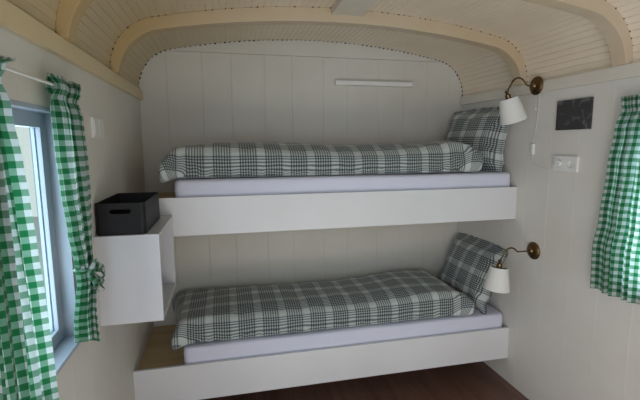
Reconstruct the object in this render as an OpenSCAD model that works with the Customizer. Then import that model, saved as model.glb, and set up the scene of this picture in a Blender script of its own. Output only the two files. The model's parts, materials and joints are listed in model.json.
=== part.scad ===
// Bunk end of a shepherds hut: three bays of floor, walls and arched roof with a double bunk.
// Units mm. +X right, +Y towards the end wall, +Z up. Origin at the bottom centre of the whole.
// Room coordinates: X from the room's middle, Y from the end wall's inner face (negative towards
// the open end), Z from the floor's top. The in_room() module places them in the part's frame.

/* [Room] */
// Length of a mattress, which lies across the room
mattress_l = 2000; // [1950:5:2050]
// Width of the room beyond a mattress's length
bed_spare = 265; // [240:5:300]
// Spacing of the roof bows
bay = 655; // [650:1:665]
// Height of the ceiling's springing above the floor
spring_h = 1891; // [1885:1:1930]
// Rise of the ceiling from springing to crown
rise = 356; // [350:1:362]
// Radius of the rounded ceiling shoulders
shoulder_r = 250; // [244:1:254]

/* [Walls and roof] */
// Thickness of the inner boards
lining_t = 12; // [9:1:16]
// Thickness of the framed and insulated wall core
core_t = 48; // [40:1:75]
// Thickness of the outer boards
cladding_t = 18; // [14:1:24]
// Thickness of the ceiling boards
ceiling_t = 12; // [9:1:16]
// Thickness of the roof covering
cover_t = 6; // [4:1:10]
// Overhang of the roof beyond the walls
eaves = 50; // [30:5:90]
// Width of a roof bow
bow_w = 70; // [55:1:80]
// Depth of a roof bow at the crown
bow_crown = 70; // [60:1:80]
// Depth of a roof bow at its foot
bow_foot = 35; // [30:1:42]
// Depth of the cornice board under the bows
cornice_h = 59; // [50:1:70]
// Thickness of the cornice board
cornice_t = 20; // [16:1:24]
// Drop of the joint below the end wall's top board from the crown
frieze_drop = 107; // [97:1:117]
// Width of the flat strip along the ceiling
strip_w = 168; // [140:2:200]

/* [Floor] */
// Depth of the floor bearers
bearer_h = 90; // [70:5:120]
// Width of a floor bearer
bearer_w = 70; // [50:5:90]
// Thickness of the floor boards
floor_t = 22; // [18:1:28]

/* [Bunks] */
// Depth of both bunks from the end wall
bunk_w = 660; // [640:5:680]
// Thickness of the front boards
front_t = 20; // [16:1:25]
// Top of the upper front board
upper_top = 1282; // [1260:1:1300]
// Height of the upper front board
upper_h = 201; // [180:1:210]
// Top of the lower front board
lower_top = 367; // [350:1:380]
// Height of the lower front board
lower_h = 208; // [190:1:220]
// Thickness of the bunk bases
base_t = 18; // [15:1:22]
// Depth of the bunk bases below the front boards' tops
base_drop = 42; // [36:1:50]
// Side of the square cleats that carry the bases
cleat = 38; // [30:1:45]
// Thickness of a mattress
mattress_t = 130; // [110:1:135]
// Thickness of a duvet
duvet_t = 126; // [110:1:130]
// Length of a pillow
pillow_l = 560; // [520:5:570]
// Width of a pillow as it stands on its foot
pillow_w = 430; // [400:5:470]
// Thickness of a pillow
pillow_t = 140; // [120:1:150]

/* [Windows] */
// Clear width of a window
window_w = 527; // [500:1:540]
// Clear height of a window
window_h = 745; // [720:5:770]
// Drop of the window head below the springing
head_drop = 241; // [236:1:256]
// Reach of the sill's lip into the room
sill_lip = 15; // [8:1:16]
// Thickness of the reveal boards
reveal_t = 14; // [12:1:18]
// Width of a sash member
sash_w = 45; // [38:1:55]
// Thickness of a sash
sash_t = 30; // [26:1:34]
// Thickness of the glass
glass_t = 4; // [3:1:6]

/* [Curtains] */
// Height of the curtain rods above the window head
rod_rise = 72; // [60:1:80]
// Diameter of the curtain rods
rod_d = 8; // [6:1:10]
// Distance of the rods from the wall
rod_off = 40; // [38:1:44]
// Depth of the gathered curtains from front to back
curtain_t = 44; // [36:1:48]
// Length of a curtain, with the ruffle above its rod
curtain_l = 900; // [860:5:930]
// Height of the ruffle above the rod
ruffle_h = 28; // [20:1:34]
// Width of a far curtain where it hangs on its rod
curtain_w = 270; // [250:2:280]

/* [Lamps] */
// Drop of the upper lamp's wall plate below the springing
upper_lamp_drop = 21; // [15:1:30]
// Height of the lower lamp's wall plate above the lower front board
lower_lamp_rise = 554; // [540:1:570]
// Reach of the upper lamp's arm from the cornice to its pin
upper_reach = 191; // [185:1:200]
// Reach of the lower lamp's arm from the wall to its pin
lower_reach = 224; // [195:1:235]
// Rise of the upper lamp's arm
upper_crest = 40; // [30:1:45]
// Rise of the lower lamp's arm
lower_crest = 26; // [25:1:40]
// Drop of the upper lamp's pin below its plate's middle
upper_drop = 38; // [30:1:45]
// Drop of the lower lamp's pin below its plate's middle
lower_drop = 47; // [35:1:50]
// Diameter of a wall plate
plate_d = 103; // [96:1:108]
// Diameter of the lamp arms
arm_d = 9; // [8:1:11]
// Upper diameter of a shade
shade_top_d = 100; // [90:1:105]
// Lower diameter of a shade
shade_low_d = 146; // [130:1:150]
// Height of a shade
shade_h = 134; // [120:1:140]
// Tilt of the upper shade towards the wall, degrees
upper_tilt = 20; // [0:1:25]
// Tilt of the lower shade towards the wall, degrees
lower_tilt = -5; // [-15:1:15]

/* [Fittings] */
// Length of the wall shelf box along the wall
shelf_l = 455; // [430:5:480]
// Height of the wall shelf box
shelf_h = 366; // [345:1:380]
// Depth of the wall shelf box from the wall
shelf_d = 240; // [220:1:250]
// Board thickness of the wall shelf box
shelf_t = 16; // [12:1:18]
// Drop of the wall shelf box's top below the upper front board's top
shelf_drop = 87; // [80:1:100]
// Length of the basket on the shelf
basket_l = 382; // [350:2:400]
// Height of the basket
basket_h = 128; // [110:1:140]
// Length of the strip light
light_l = 571; // [500:1:600]
// Distance of the strip light from the room's middle
light_x = 142; // [100:1:180]
// Drop of the strip light below the crown
light_drop = 277; // [250:1:300]
// Height of the switch and socket plates
plate_h = 80; // [76:1:86]
// Width of the switch plate
switch_w = 150; // [140:2:160]
// Width of the double socket
socket_w = 152; // [150:1:160]
// Width of the wall picture
picture_w = 217; // [200:1:225]
// Height of the wall picture
picture_h = 154; // [140:1:160]

/* [Hidden] */
$fn = 180;
bays = 3;
room_w = mattress_l + bed_spare;
hw = room_w / 2;
wall_t = lining_t + core_t + cladding_t;
depth = bays * bay + bow_w / 2;
y_end = (depth - wall_t - eaves) / 2;
floor_z = bearer_h + floor_t;
room_top = spring_h + rise;
frieze_z = room_top - frieze_drop;
head_z = spring_h - head_drop;
sill_z = head_z - window_h;
rod_z = head_z + rod_rise;
hem_z = rod_z + ruffle_h - curtain_l;
upper_lamp_z = spring_h - upper_lamp_drop;
lower_lamp_z = lower_top + lower_lamp_rise;
shelf_z = upper_top - shelf_drop;
shoulder_z = spring_h + 15;
cross = 0.3;
core_x = hw + lining_t + core_t;
out_x = hw + wall_t;
crown_r = arch_r(hw, room_top, shoulder_z, shoulder_r);
roof_cz = room_top - crown_r;
roof_r = crown_r + ceiling_t;
skirt_z = -floor_t - 50;
win_y = -2.5 * bay;
left_far_end = 0.28;
right_far_end = 0.07;
front_in = -bunk_w + front_t;
clear = 5;
upper_base = upper_top - base_drop;
lower_base = lower_top - base_drop;
bed_end = hw - 15;
bed_y = front_in + clear;
bed_w = -bed_y - 10;
shelf_y = -bunk_w - 15;
pin_r = 2.5;
pin_gap = 0.1;
eye_r = 8;
eye_t = 7;
soft_gap = 0.4;
upper_lean = 70;
upper_turn = 8;
lower_lean = 67;
lower_turn = 0;
upper_over = 70;
lower_over = 125;
upper_foot_gap = 6;
lower_foot_gap = 66;
pillow_r = (pow(pillow_w + 30, 2) + pillow_t * pillow_t) / (4 * pillow_t);
pillow_edge = sqrt(pillow_r * pillow_r - pillow_w * pillow_w / 4) - pillow_r + pillow_t / 2;
upper_lamp_y = -bunk_w - 135;
lower_lamp_y = -bunk_w - 171;
arm_rise = 50;
arm_fall = 60;
foot_r = 22;
crest_r = 45;
tube_step = 0.2;
eye_neck = 16;
boss_l = 30;
plate_sink = 20;
shade_drop = 35;
shade_t = 2;
plate_t = 9;
rocker_t = 3;
socket_t = 14;
well_d = 40;
well_depth = 10;
picture_t = 12;
switch_drop = 231;
socket_drop = 390;
picture_drop = 121;
switch_gap = 245;
socket_gap = 368;
picture_gap = 285;
switch_top = spring_h - switch_drop;
socket_top = upper_lamp_z - socket_drop;
picture_top = spring_h - picture_drop;
switch_y = -bunk_w - switch_gap - switch_w / 2;
socket_y = -bunk_w - socket_gap;
picture_y = -bunk_w - picture_gap - picture_w / 2;
well_y = 38;

// Flex of the upper lamp, from the cornice's underside down to its switch, and on to its plug.
// X is counted from the lining, Y and Z from the middle of the lamp's wall plate.
lead_d = 4;
upper_lead = [[-10, -12, -38], [-10, -12, -46], [-10, -12, -54], [-9, -11, -68],
    [-7, -10, -86], [-6, -9, -105], [-5, -8, -125], [-5, -6, -145], [-5, -4, -165],
    [-4, -2, -185], [-4, 0, -205], [-4, 3, -225], [-4, 6, -245], [-5, 9, -265],
    [-6, 12, -283], [-8, 14, -298], [-8.5, 15, -308], [-8.5, 15, -316], [-8.5, 15, -324]];
lower_lead = [[-8.5, 15, -386], [-8.5, 15, -394], [-8.5, 15, -402], [-8, 12, -413],
    [-7, 6, -424], [-6, -3, -435], [-5, -14, -445], [-5, -28, -453], [-5, -45, -459],
    [-6, -63, -462], [-8, -81, -464], [-11, -99, -464], [-15, -116, -462],
    [-19, -130, -459], [-22, -141, -455], [-24, -151, -450], [-24, -159, -446],
    [-24, -167, -442]];
cord_switch_t = 16;
cord_switch_w = 24;
cord_switch_l = 62;
plug_d = 36;
plug_t = 26;
relief_d = 11;
relief_l = 24;
string_d = 2;
string_l = 72;
knob_d = 7;
knob_h = 14;

// Radius of the crown arc that meets two shoulder circles of radius rc, centred at height zc.
// The circles reach past the crown arc and the walls by cross, so that the lines cut cleanly.
function arch_r(half, top, zc, rc) =
    (pow(top - zc, 2) + pow(half - rc + cross, 2) - pow(rc - cross, 2))
    / (2 * (top - zc - rc + cross));

module in_room() {
    translate([0, y_end, floor_z]) children();
}

// Stands a drawing in X and Z up and draws it out along Y, from y0 to y1.
module along(y0, y1) {
    translate([0, y1, 0]) rotate([90, 0, 0]) linear_extrude(y1 - y0) children();
}

module block(x0, x1, y0, y1, z0, z1) {
    translate([x0, y0, z0]) cube([x1 - x0, y1 - y0, z1 - z0]);
}

// Section of the room from the floor to a three-centred ceiling.
module arch(half, top, zc, rc) {
    r = arch_r(half, top, zc, rc);
    cx = half - rc + cross;
    cz = top - r;
    reach = (r + 40) / (r - rc);
    intersection() {
        translate([0, cz]) circle(r = r, $fn = 720);
        translate([-half, 0]) square([2 * half, top + 60]);
        union() {
            for (s = [-1, 1]) translate([s * cx, zc]) circle(r = rc);
            polygon([[-half - 10, -10], [half + 10, -10], [half + 10, zc], [cx, zc],
                [cx * reach, cz + (zc - cz) * reach], [0, top + 60],
                [-cx * reach, cz + (zc - cz) * reach], [-cx, zc], [-half - 10, zc]]);
        }
    }
}

module ceiling_line() {
    arch(hw, room_top, shoulder_z, shoulder_r);
}

module ceiling_back() {
    arch(hw + ceiling_t, room_top + ceiling_t, shoulder_z, shoulder_r + ceiling_t);
}

// Everything between two X values and above z0 that lies under the roof covering.
module under_roof(x0, x1, z0) {
    intersection() {
        translate([0, roof_cz]) circle(r = roof_r, $fn = 720);
        translate([x0, z0]) square([x1 - x0, room_top + 200 - z0]);
    }
}

// Hole for one window through a side wall, with room for its reveal boards.
module window_hole(side) {
    x = side * (hw + wall_t / 2);
    w = window_w / 2 + reveal_t;
    block(x - wall_t, x + wall_t, win_y - w, win_y + w, sill_z - reveal_t, head_z + reveal_t);
}

module side_slab(side, x0, x1, z0, z1) {
    difference() {
        scale_side(side) block(x0, x1, -depth, 0, z0, z1);
        window_hole(side);
    }
}

// Mirrors what is drawn for the right-hand side when side is -1.
module scale_side(side) {
    if (side < 0) mirror([1, 0, 0]) children();
    else children();
}

module floor_bearers() {
    color("#6b5a45") in_room() for (x = [-core_x, -bearer_w / 2, core_x - bearer_w])
        block(x, x + bearer_w, -depth, lining_t + core_t, -floor_z, -floor_t);
}

module floor_boards() {
    color("#6a3f30") in_room()
        block(-core_x, core_x, -depth, lining_t + core_t, -floor_t, 0);
}

module end_wall_lining() {
    color("#d9d6cc") in_room() along(0, lining_t) intersection() {
        under_roof(-core_x, core_x, 0);
        translate([-core_x, 0]) square([2 * core_x, frieze_z - 1]);
    }
}

module end_wall_frieze() {
    x = hw - shoulder_r / 2;
    color("#d4d1c6") in_room() along(0, lining_t) under_roof(-x, x, frieze_z + 1);
}

module end_wall_core() {
    color("#b9a27c") in_room() along(lining_t, lining_t + core_t)
        under_roof(-core_x, core_x, 0);
}

module end_wall_cladding() {
    color("#d0cdc2") in_room() along(lining_t + core_t, wall_t)
        under_roof(-out_x, out_x, skirt_z);
}

module side_wall_linings() {
    color("#d9d6cc") in_room() for (s = [-1, 1]) side_slab(s, hw, hw + lining_t, 0, spring_h);
}

module side_wall_cores() {
    color("#b9a27c") in_room() for (s = [-1, 1]) side_slab(s, hw + lining_t, core_x, 0, spring_h);
}

module side_cladding(side) {
    difference() {
        scale_side(side) along(-depth, lining_t + core_t) under_roof(core_x, out_x, skirt_z);
        window_hole(side);
    }
}

module side_wall_claddings() {
    color("#d0cdc2") in_room() for (s = [-1, 1]) side_cladding(s);
}

module wall_cornices() {
    color("#d8cfb8") in_room() for (s = [-1, 1]) scale_side(s)
        block(hw - cornice_t, hw, -depth, 0, spring_h - cornice_h, spring_h);
}

// One laminated bow, thick at the crown and thinner at its feet.
module bow() {
    inner_z = shoulder_z - 40;
    along(-bow_w / 2, bow_w / 2) difference() {
        intersection() {
            ceiling_line();
            translate([-hw, spring_h]) square([room_w, rise + 100]);
        }
        arch(hw - bow_foot, room_top - bow_crown, inner_z, shoulder_r - 15);
    }
}

module roof_bows() {
    color("#d8cba8") in_room() for (i = [1 : bays]) translate([0, -i * bay, 0]) bow();
}

module ceiling_boards() {
    color("#cfc6ab") in_room() along(-depth, 0) difference() {
        intersection() {
            ceiling_back();
            translate([-2 * hw, spring_h]) square([4 * hw, rise + 100]);
        }
        ceiling_line();
    }
}

// Flat board along the ceiling between the bows, with a stained edge strip on its left.
module ceiling_strip() {
    color("#cfc8b4") in_room() for (i = [1 : bays - 1])
        along(-(i + 1) * bay + bow_w / 2, -i * bay - bow_w / 2) intersection() {
            ceiling_line();
            translate([-60, room_top - 34]) square([strip_w, 60]);
        }
}

// Timber behind each rounded shoulder, between the ceiling boards and the roof covering.
module eaves_fillings() {
    color("#b9a27c") in_room() for (s = [-1, 1]) scale_side(s) along(-depth, 0) difference() {
        under_roof(hw - shoulder_r * 0.53, core_x, spring_h);
        ceiling_back();
    }
}

module roof_covering() {
    edge = out_x + eaves;
    color("#8d9296") in_room() along(-depth, wall_t + eaves) intersection() {
        difference() {
            translate([0, roof_cz]) circle(r = roof_r + cover_t, $fn = 720);
            translate([0, roof_cz]) circle(r = roof_r, $fn = 720);
        }
        translate([-edge, spring_h]) square([2 * edge, rise + 100]);
    }
}

// The four cleats under one bunk base: along the end wall, both side walls and the front board.
module cleats(top) {
    block(-hw, hw, -cleat, 0, top - cleat, top);
    block(-hw, hw, front_in, front_in + cleat, top - cleat, top);
    for (s = [-1, 1]) scale_side(s)
        block(hw - cleat, hw, front_in + cleat + clear, -cleat - clear, top - cleat, top);
}

module bunk_cleats() {
    color("#cfcabd") in_room() {
        cleats(upper_base - base_t);
        cleats(lower_base - base_t);
    }
}

module bunk_bases() {
    color("#c9b18a") in_room() for (z = [upper_base, lower_base])
        block(-hw, hw, front_in, 0, z - base_t, z);
}

module bunk_fronts() {
    color("#dcdbd6") in_room() {
        block(-hw, hw, -bunk_w, front_in, upper_top - upper_h, upper_top);
        block(-hw, hw, -bunk_w, front_in, lower_top - lower_h, lower_top);
    }
}

// Mattress with rounded upright corners, lying on a base whose top is at z.
module mattress(z) {
    r = 60;
    translate([bed_end - mattress_l, bed_y, z]) linear_extrude(mattress_t) {
        translate([r, 0]) square([mattress_l - 2 * r, bed_w]);
        translate([0, r]) square([mattress_l, bed_w - 2 * r]);
        for (x = [r, mattress_l - r], y = [r, bed_w - r]) translate([x, y]) circle(r = r);
    }
}

module mattresses() {
    color("#dfe0ea") in_room() for (z = [upper_base, lower_base]) mattress(z);
}

// Duvet with rounded edges, from its overhang past the mattress's left end to x1, on a
// mattress whose top is z.
module duvet(z, over, x1) {
    r = duvet_t / 2;
    x0 = bed_end - mattress_l - over;
    y0 = bed_y + 2;
    y1 = bed_y + bed_w;
    translate([0, 0, z + soft_gap]) intersection() {
        along(y0, y1) {
            translate([x0 + r, 0]) square([x1 - x0 - 2 * r, duvet_t]);
            for (x = [x0 + r, x1 - r]) translate([x, r]) circle(r = r);
        }
        translate([x0 - 5, 0, 0]) rotate([90, 0, 90]) linear_extrude(x1 - x0 + 10) {
            translate([y0 + r, 0]) square([y1 - y0 - 2 * r, duvet_t]);
            for (y = [y0 + r, y1 - r]) translate([y, r]) circle(r = r);
        }
    }
}

module upper_duvet() {
    color("#77797b") in_room()
        duvet(upper_base + mattress_t, upper_over,
            hw - 2 * lean_x(upper_lean, upper_turn) - upper_foot_gap);
}

module lower_duvet() {
    color("#77797b") in_room()
        duvet(lower_base + mattress_t, lower_over,
            hw - 2 * lean_x(lower_lean, lower_turn) - lower_foot_gap);
}

// Lens of width w and thickness t, lying along X and centred at the origin.
module lens(w, t) {
    r = (w * w + t * t) / (4 * t);
    intersection_for (s = [-1, 1]) translate([0, s * (r - t / 2)]) circle(r = r, $fn = 360);
}

// Pillow crowned both ways, lying flat, centred at the origin, long along Y.
module pillow() {
    intersection() {
        along(-pillow_l / 2, pillow_l / 2) lens(pillow_w + 30, pillow_t);
        rotate([90, 0, 90]) linear_extrude(pillow_w, center = true)
            lens(pillow_l + 40, pillow_t + 20);
    }
}

// Half of a leaning pillow's reach along X and along Z. Along X either a corner of it or the
// belly of its lens reaches farthest.
function lean_x(lean, turn) = max(pillow_r - (pillow_r - pillow_t / 2) * sin(lean),
    cos(turn) * (pillow_w / 2 * cos(lean) + pillow_edge * sin(lean)) + sin(turn) * pillow_l / 2);
function lean_z(lean) = pillow_w / 2 * sin(lean) + pillow_edge * cos(lean);

// A pillow that leans on the right-hand wall with its foot on the mattress at z.
module leaning(z, lean, turn) {
    translate([hw - lean_x(lean, turn) - 2, bed_y + bed_w / 2, z + lean_z(lean) + soft_gap])
        rotate([0, 0, turn]) rotate([0, -lean, 0]) pillow();
}

module upper_pillow() {
    color("#6f7173") in_room() leaning(upper_base + mattress_t, upper_lean, upper_turn);
}

module lower_pillow() {
    color("#6f7173") in_room() leaning(lower_base + mattress_t, lower_lean, lower_turn);
}

// Reveal boards, sash and sill of the right-hand window, with a groove for its glass.
module window_frame() {
    w = window_w / 2;
    x1 = out_x - 6;
    difference() {
        union() {
            block(hw, out_x, win_y - w - reveal_t, win_y + w + reveal_t,
                sill_z - reveal_t, head_z + reveal_t);
            block(hw - sill_lip, hw, win_y - w - 26, win_y + w + 26, sill_z - reveal_t, sill_z);
        }
        block(hw - 1, x1 - sash_t, win_y - w, win_y + w, sill_z, head_z);
        block(hw, out_x + 1, win_y - w + sash_w, win_y + w - sash_w,
            sill_z + sash_w, head_z - sash_w);
        block(x1, out_x + 1, win_y - w, win_y + w, sill_z, head_z);
        pane();
    }
}

module pane() {
    w = window_w / 2 - sash_w + 8;
    x = out_x - 6 - sash_t / 2;
    block(x - glass_t / 2, x + glass_t / 2, win_y - w, win_y + w,
        sill_z + sash_w - 8, head_z - sash_w + 8);
}

module window_frames() {
    color("#c9ccd2") in_room() for (s = [-1, 1]) scale_side(s) window_frame();
}

module window_panes() {
    color("#cfe0ee", 0.4) in_room() for (s = [-1, 1]) scale_side(s) pane();
}

// One thin rod over a window on two wall plugs. It ends just past its far curtain, whose
// edge is at share a of curtain_w from the window's far side.
module curtain_rod(a) {
    x = hw - rod_off;
    y1 = win_y + window_w / 2 + a * curtain_w + rod_d + 12;
    y0 = -depth + 4;
    translate([x, y1, rod_z]) rotate([90, 0, 0]) cylinder(d = rod_d, h = y1 - y0);
    for (y = [y1 - rod_d / 2, y0 + rod_d / 2]) translate([x, y, rod_z]) rotate([0, 90, 0])
        cylinder(d = rod_d - 1, h = rod_off);
}

module curtain_rods() {
    color("#d8d6d0") in_room() {
        scale_side(-1) curtain_rod(left_far_end);
        curtain_rod(right_far_end);
    }
}

// Gathered curtain threaded on its rod, drawn on the right. Its outline pts are shares of
// curtain_w from y, and shares of curtain_l above the hem.
module curtain(y, pts) {
    difference() {
        translate([hw - rod_off - curtain_t / 2, 0, 0]) rotate([90, 0, 90])
            linear_extrude(curtain_t)
                polygon([for (p = pts) [y + p[0] * curtain_w, hem_z + p[1] * curtain_l]]);
        translate([hw - rod_off, 0, rod_z]) rotate([90, 0, 0])
            cylinder(d = rod_d + 2 * soft_gap, h = 4 * depth, center = true);
    }
}

// Curtain that runs on past the open end's side of its window, to the cut. Its far edge is at
// share a at the top, share b lower down and share c at the hem.
module near_curtain(y, a, b, c) {
    e = (16 - depth - y) / curtain_w;
    curtain(y, [[e, 1], [a, 1], [b, 0.6], [c, 0], [e, 0]]);
}

module left_far_curtain() {
    color("#3f7f55") in_room() scale_side(-1) curtain(win_y + window_w / 2,
        [[-0.54, 1], [left_far_end, 1], [0.42, 0.59], [0.48, 0.267], [0.72, 0.19],
        [0.31, 0.17], [0.27, 0], [-0.50, 0.09], [-0.18, 0.31], [-0.52, 0.6]]);
}

module left_near_curtain() {
    color("#3f7f55") in_room() scale_side(-1) near_curtain(win_y, -0.31, -0.32, -0.17);
}

module right_far_curtain() {
    color("#3f7f55") in_room() curtain(win_y + window_w / 2,
        [[-0.92, 1], [right_far_end, 1], [0.22, 0.72], [0.45, 0.21], [0.45, 0], [-0.95, 0]]);
}

module right_near_curtain() {
    color("#3f7f55") in_room() near_curtain(win_y + window_w / 2, -0.98, -1.04, -0.99);
}

// Slim light fitting on the end wall with a rounded front.
module strip_light() {
    color("#e6e6e2") in_room() translate([light_x, -14, room_top - light_drop])
        rotate([90, 0, 90]) linear_extrude(light_l) intersection() {
            union() {
                square([28, 33], center = true);
                translate([-14, 0]) circle(d = 33);
            }
            translate([-24, -20]) square([38, 40]);
        }
}

// Straight length of arm towards -X. It is a hair thinner than the bends that it runs into.
module tube(l) {
    rotate([0, -90, 0]) translate([0, 0, -1]) cylinder(d = arm_d - tube_step, h = l + 2);
}

// Bend of the arm in X and Z, from angle a0 through angle a, with bend radius r.
module bend(r, a0, a) {
    rotate([90, 0, 0]) rotate([0, 0, a0]) rotate_extrude(angle = a, $fn = 90)
        translate([r, 0]) circle(d = arm_d, $fn = 48);
}

// Wall plate and swan-neck arm. The plate's back is at x = 0 and the arm reaches towards -X:
// out of the boss, up through the foot's bend, over the crest and down to the pin's eye.
module lamp_arm(reach, crest, drop) {
    up_l = (crest - (foot_r + crest_r) * (1 - cos(arm_rise))) / sin(arm_rise);
    down_l = (crest - crest_r * (1 - cos(arm_fall)) + drop) / sin(arm_fall);
    foot_x = reach - (foot_r + crest_r) * sin(arm_rise) - up_l * cos(arm_rise)
        - crest_r * sin(arm_fall) - down_l * cos(arm_fall);
    rise_x = foot_x + foot_r * sin(arm_rise);
    rise_z = foot_r * (1 - cos(arm_rise));
    crest_x = rise_x + up_l * cos(arm_rise) + crest_r * sin(arm_rise);
    fall_x = crest_x + crest_r * sin(arm_fall);
    rotate([0, -90, 0]) rotate_extrude() polygon([[0, 0], [plate_d / 2, 0],
        [plate_d / 2, 4], [plate_d / 2 - 10, 13], [16, 20], [9, boss_l], [0, boss_l]]);
    translate([-plate_sink, 0, 0]) tube(foot_x - plate_sink);
    translate([-foot_x, 0, foot_r]) bend(foot_r, -90 - arm_rise, arm_rise);
    translate([-rise_x, 0, rise_z]) rotate([0, arm_rise, 0]) tube(up_l);
    translate([-crest_x, 0, crest - crest_r]) bend(crest_r, 90 - arm_rise, arm_rise + arm_fall);
    translate([-fall_x, 0, crest - crest_r * (1 - cos(arm_fall))]) rotate([0, -arm_fall, 0])
        tube(down_l - eye_neck);
    translate([-reach, 0, -drop]) difference() {
        union() {
            rotate([0, -arm_fall, 0]) translate([0, -eye_t / 2, 1 - arm_d / 2])
                cube([eye_neck + 4, eye_t, arm_d - 2]);
            rotate([90, 0, 0]) cylinder(r = eye_r, h = eye_t, center = true);
        }
        rotate([90, 0, 0]) cylinder(r = pin_r + pin_gap, h = 4 * eye_t, center = true);
    }
}

// Places a lamp's moving parts at its pin and tilts them towards the wall.
module at_pin(plate_x, y, z, reach, drop, tilt) {
    translate([plate_x - reach, y, z - drop]) rotate([0, -tilt, 0]) children();
}

// Lampholder that hangs from the pin, with three arms out to the inside of the shade.
module lamp_head() {
    for (s = [-1, 1]) translate([0, s * (eye_t / 2 + 2.5), 0]) rotate([90, 0, 0]) {
        cylinder(r = eye_r, h = 4, center = true);
        translate([-5, -eye_r - 12, -2]) cube([10, eye_r + 12, 4]);
    }
    rotate([90, 0, 0]) cylinder(r = pin_r, h = eye_t + 9, center = true);
    translate([0, 0, -eye_r - 50]) cylinder(d = 30, h = 42);
    intersection() {
        for (a = [0, 120, 240]) rotate([0, 0, a]) translate([0, -2, -shade_drop - 10])
            cube([shade_low_d, 4, 4]);
        shade_form(shade_t, shade_low_d);
    }
}

// Cone of the shade between two insets from its outer face, the inner one to the axis at most.
module shade_form(outer, inner) {
    rotate_extrude() polygon([[max(0, shade_top_d / 2 - inner), -shade_drop],
        [shade_top_d / 2 - outer, -shade_drop],
        [shade_low_d / 2 - outer, -shade_drop - shade_h],
        [max(0, shade_low_d / 2 - inner), -shade_drop - shade_h]]);
}

module lamp_shade() {
    shade_form(0, shade_t);
}

module upper_lamp_arm() {
    color("#8a6a33") in_room() translate([hw - cornice_t, upper_lamp_y, upper_lamp_z])
        lamp_arm(upper_reach, upper_crest, upper_drop);
}

module lower_lamp_arm() {
    color("#8a6a33") in_room() translate([hw, lower_lamp_y, lower_lamp_z])
        lamp_arm(lower_reach, lower_crest, lower_drop);
}

module at_upper_pin() {
    in_room() at_pin(hw - cornice_t, upper_lamp_y, upper_lamp_z, upper_reach, upper_drop,
        upper_tilt) children();
}

module at_lower_pin() {
    in_room() at_pin(hw, lower_lamp_y, lower_lamp_z, lower_reach, lower_drop,
        lower_tilt) children();
}

module upper_lamp_head() {
    color("#7d5f2f") at_upper_pin() lamp_head();
}

module lower_lamp_head() {
    color("#7d5f2f") at_lower_pin() lamp_head();
}

module upper_lamp_shade() {
    color("#ecebe6") at_upper_pin() lamp_shade();
}

module lower_lamp_shade() {
    color("#ecebe6") at_lower_pin() lamp_shade();
}

// Box hung on the left wall beside the bunks, open towards the room's middle.
module shelf_box() {
    color("#e2e1dd") in_room() difference() {
        block(-hw, -hw + shelf_d, shelf_y - shelf_l, shelf_y, shelf_z - shelf_h, shelf_z);
        block(-hw + shelf_t, -hw + shelf_d + 1, shelf_y - shelf_l + shelf_t,
            shelf_y - shelf_t, shelf_z - shelf_h + shelf_t, shelf_z - shelf_t);
    }
}

module rounded_box(x, y, z, r) {
    linear_extrude(z) {
        translate([r, 0]) square([x - 2 * r, y]);
        translate([0, r]) square([x, y - 2 * r]);
        for (i = [r, x - r], j = [r, y - r]) translate([i, j]) circle(r = r);
    }
}

// Open basket on the shelf box, with a hand slot in the end that faces the room.
module basket() {
    t = 4;
    w = shelf_d - 54;
    color("#26262a") in_room()
        translate([-hw + 5, shelf_y - shelf_l + 14, shelf_z]) difference() {
            rounded_box(w, basket_l, basket_h, 18);
            translate([t, t, t]) rounded_box(w - 2 * t, basket_l - 2 * t, basket_h, 14);
            translate([w / 2, 0, basket_h - 34]) rotate([90, 0, 0])
                linear_extrude(4 * t, center = true) {
                    square([60, 18], center = true);
                    for (s = [-1, 1]) translate([s * 30, 0]) circle(d = 18);
                }
        }
}

// Plate on a side wall, t thick, w wide round y and h high below top, drawn on the right.
module wall_plate(y, w, top, h, t) {
    block(hw - t, hw, y - w / 2, y + w / 2, top - h, top);
}

// Double switch on the left wall: a plate with two rockers.
module light_switch() {
    rocker_w = switch_w / 2 - 13;
    color("#e8e7e2") in_room() scale_side(-1) {
        wall_plate(switch_y, switch_w, switch_top, plate_h, plate_t);
        for (s = [-1, 1]) translate([-plate_t, 0, 0])
            wall_plate(switch_y + s * switch_w * 0.225, rocker_w, switch_top - 10,
                plate_h - 20, rocker_t);
    }
}

// Double socket outlet on the right wall, with two round wells.
module double_socket() {
    color("#e8e7e2") in_room() difference() {
        wall_plate(socket_y, socket_w, socket_top, plate_h, socket_t);
        for (s = [-1, 1]) translate([hw - socket_t - 1, socket_y + s * well_y,
            socket_top - plate_h / 2]) rotate([0, 90, 0]) cylinder(d = well_d, h = well_depth + 1);
    }
}

module wall_picture() {
    color("#2c2b2d") in_room()
        wall_plate(picture_y, picture_w, picture_top, picture_h, picture_t);
}

function unit(v) = v / norm(v);

// The route p with a point added between each two, on a smooth curve through them all.
function finer(p) = [for (i = [0 : len(p) - 2]) each [p[i], (9 * (p[i] + p[i + 1])
    - p[max(i - 1, 0)] - p[min(i + 2, len(p) - 1)]) / 16], p[len(p) - 1]];

// One ring of eight points round point i of route p, square to the route.
function ring(p, i, d) = let (
        t = unit(p[min(i + 1, len(p) - 1)] - p[max(i - 1, 0)]),
        n = unit(cross(t, [1, 0, 0])),
        m = cross(t, n))
    [for (a = [0 : 45 : 315]) p[i] + d / 2 * (cos(a) * n + sin(a) * m)];

// Flexible lead of diameter d along route p.
module swept_lead(p, d) {
    n = len(p);
    polyhedron(
        points = [for (i = [0 : n - 1]) each ring(p, i, d)],
        faces = [[for (k = [0 : 7]) k], [for (k = [7 : -1 : 0]) 8 * (n - 1) + k],
            for (i = [0 : n - 2], k = [0 : 7]) each let (a = 8 * i + k, b = 8 * i + (k + 1) % 8)
                [[a, a + 8, b], [b, a + 8, b + 8]]]);
}

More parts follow.
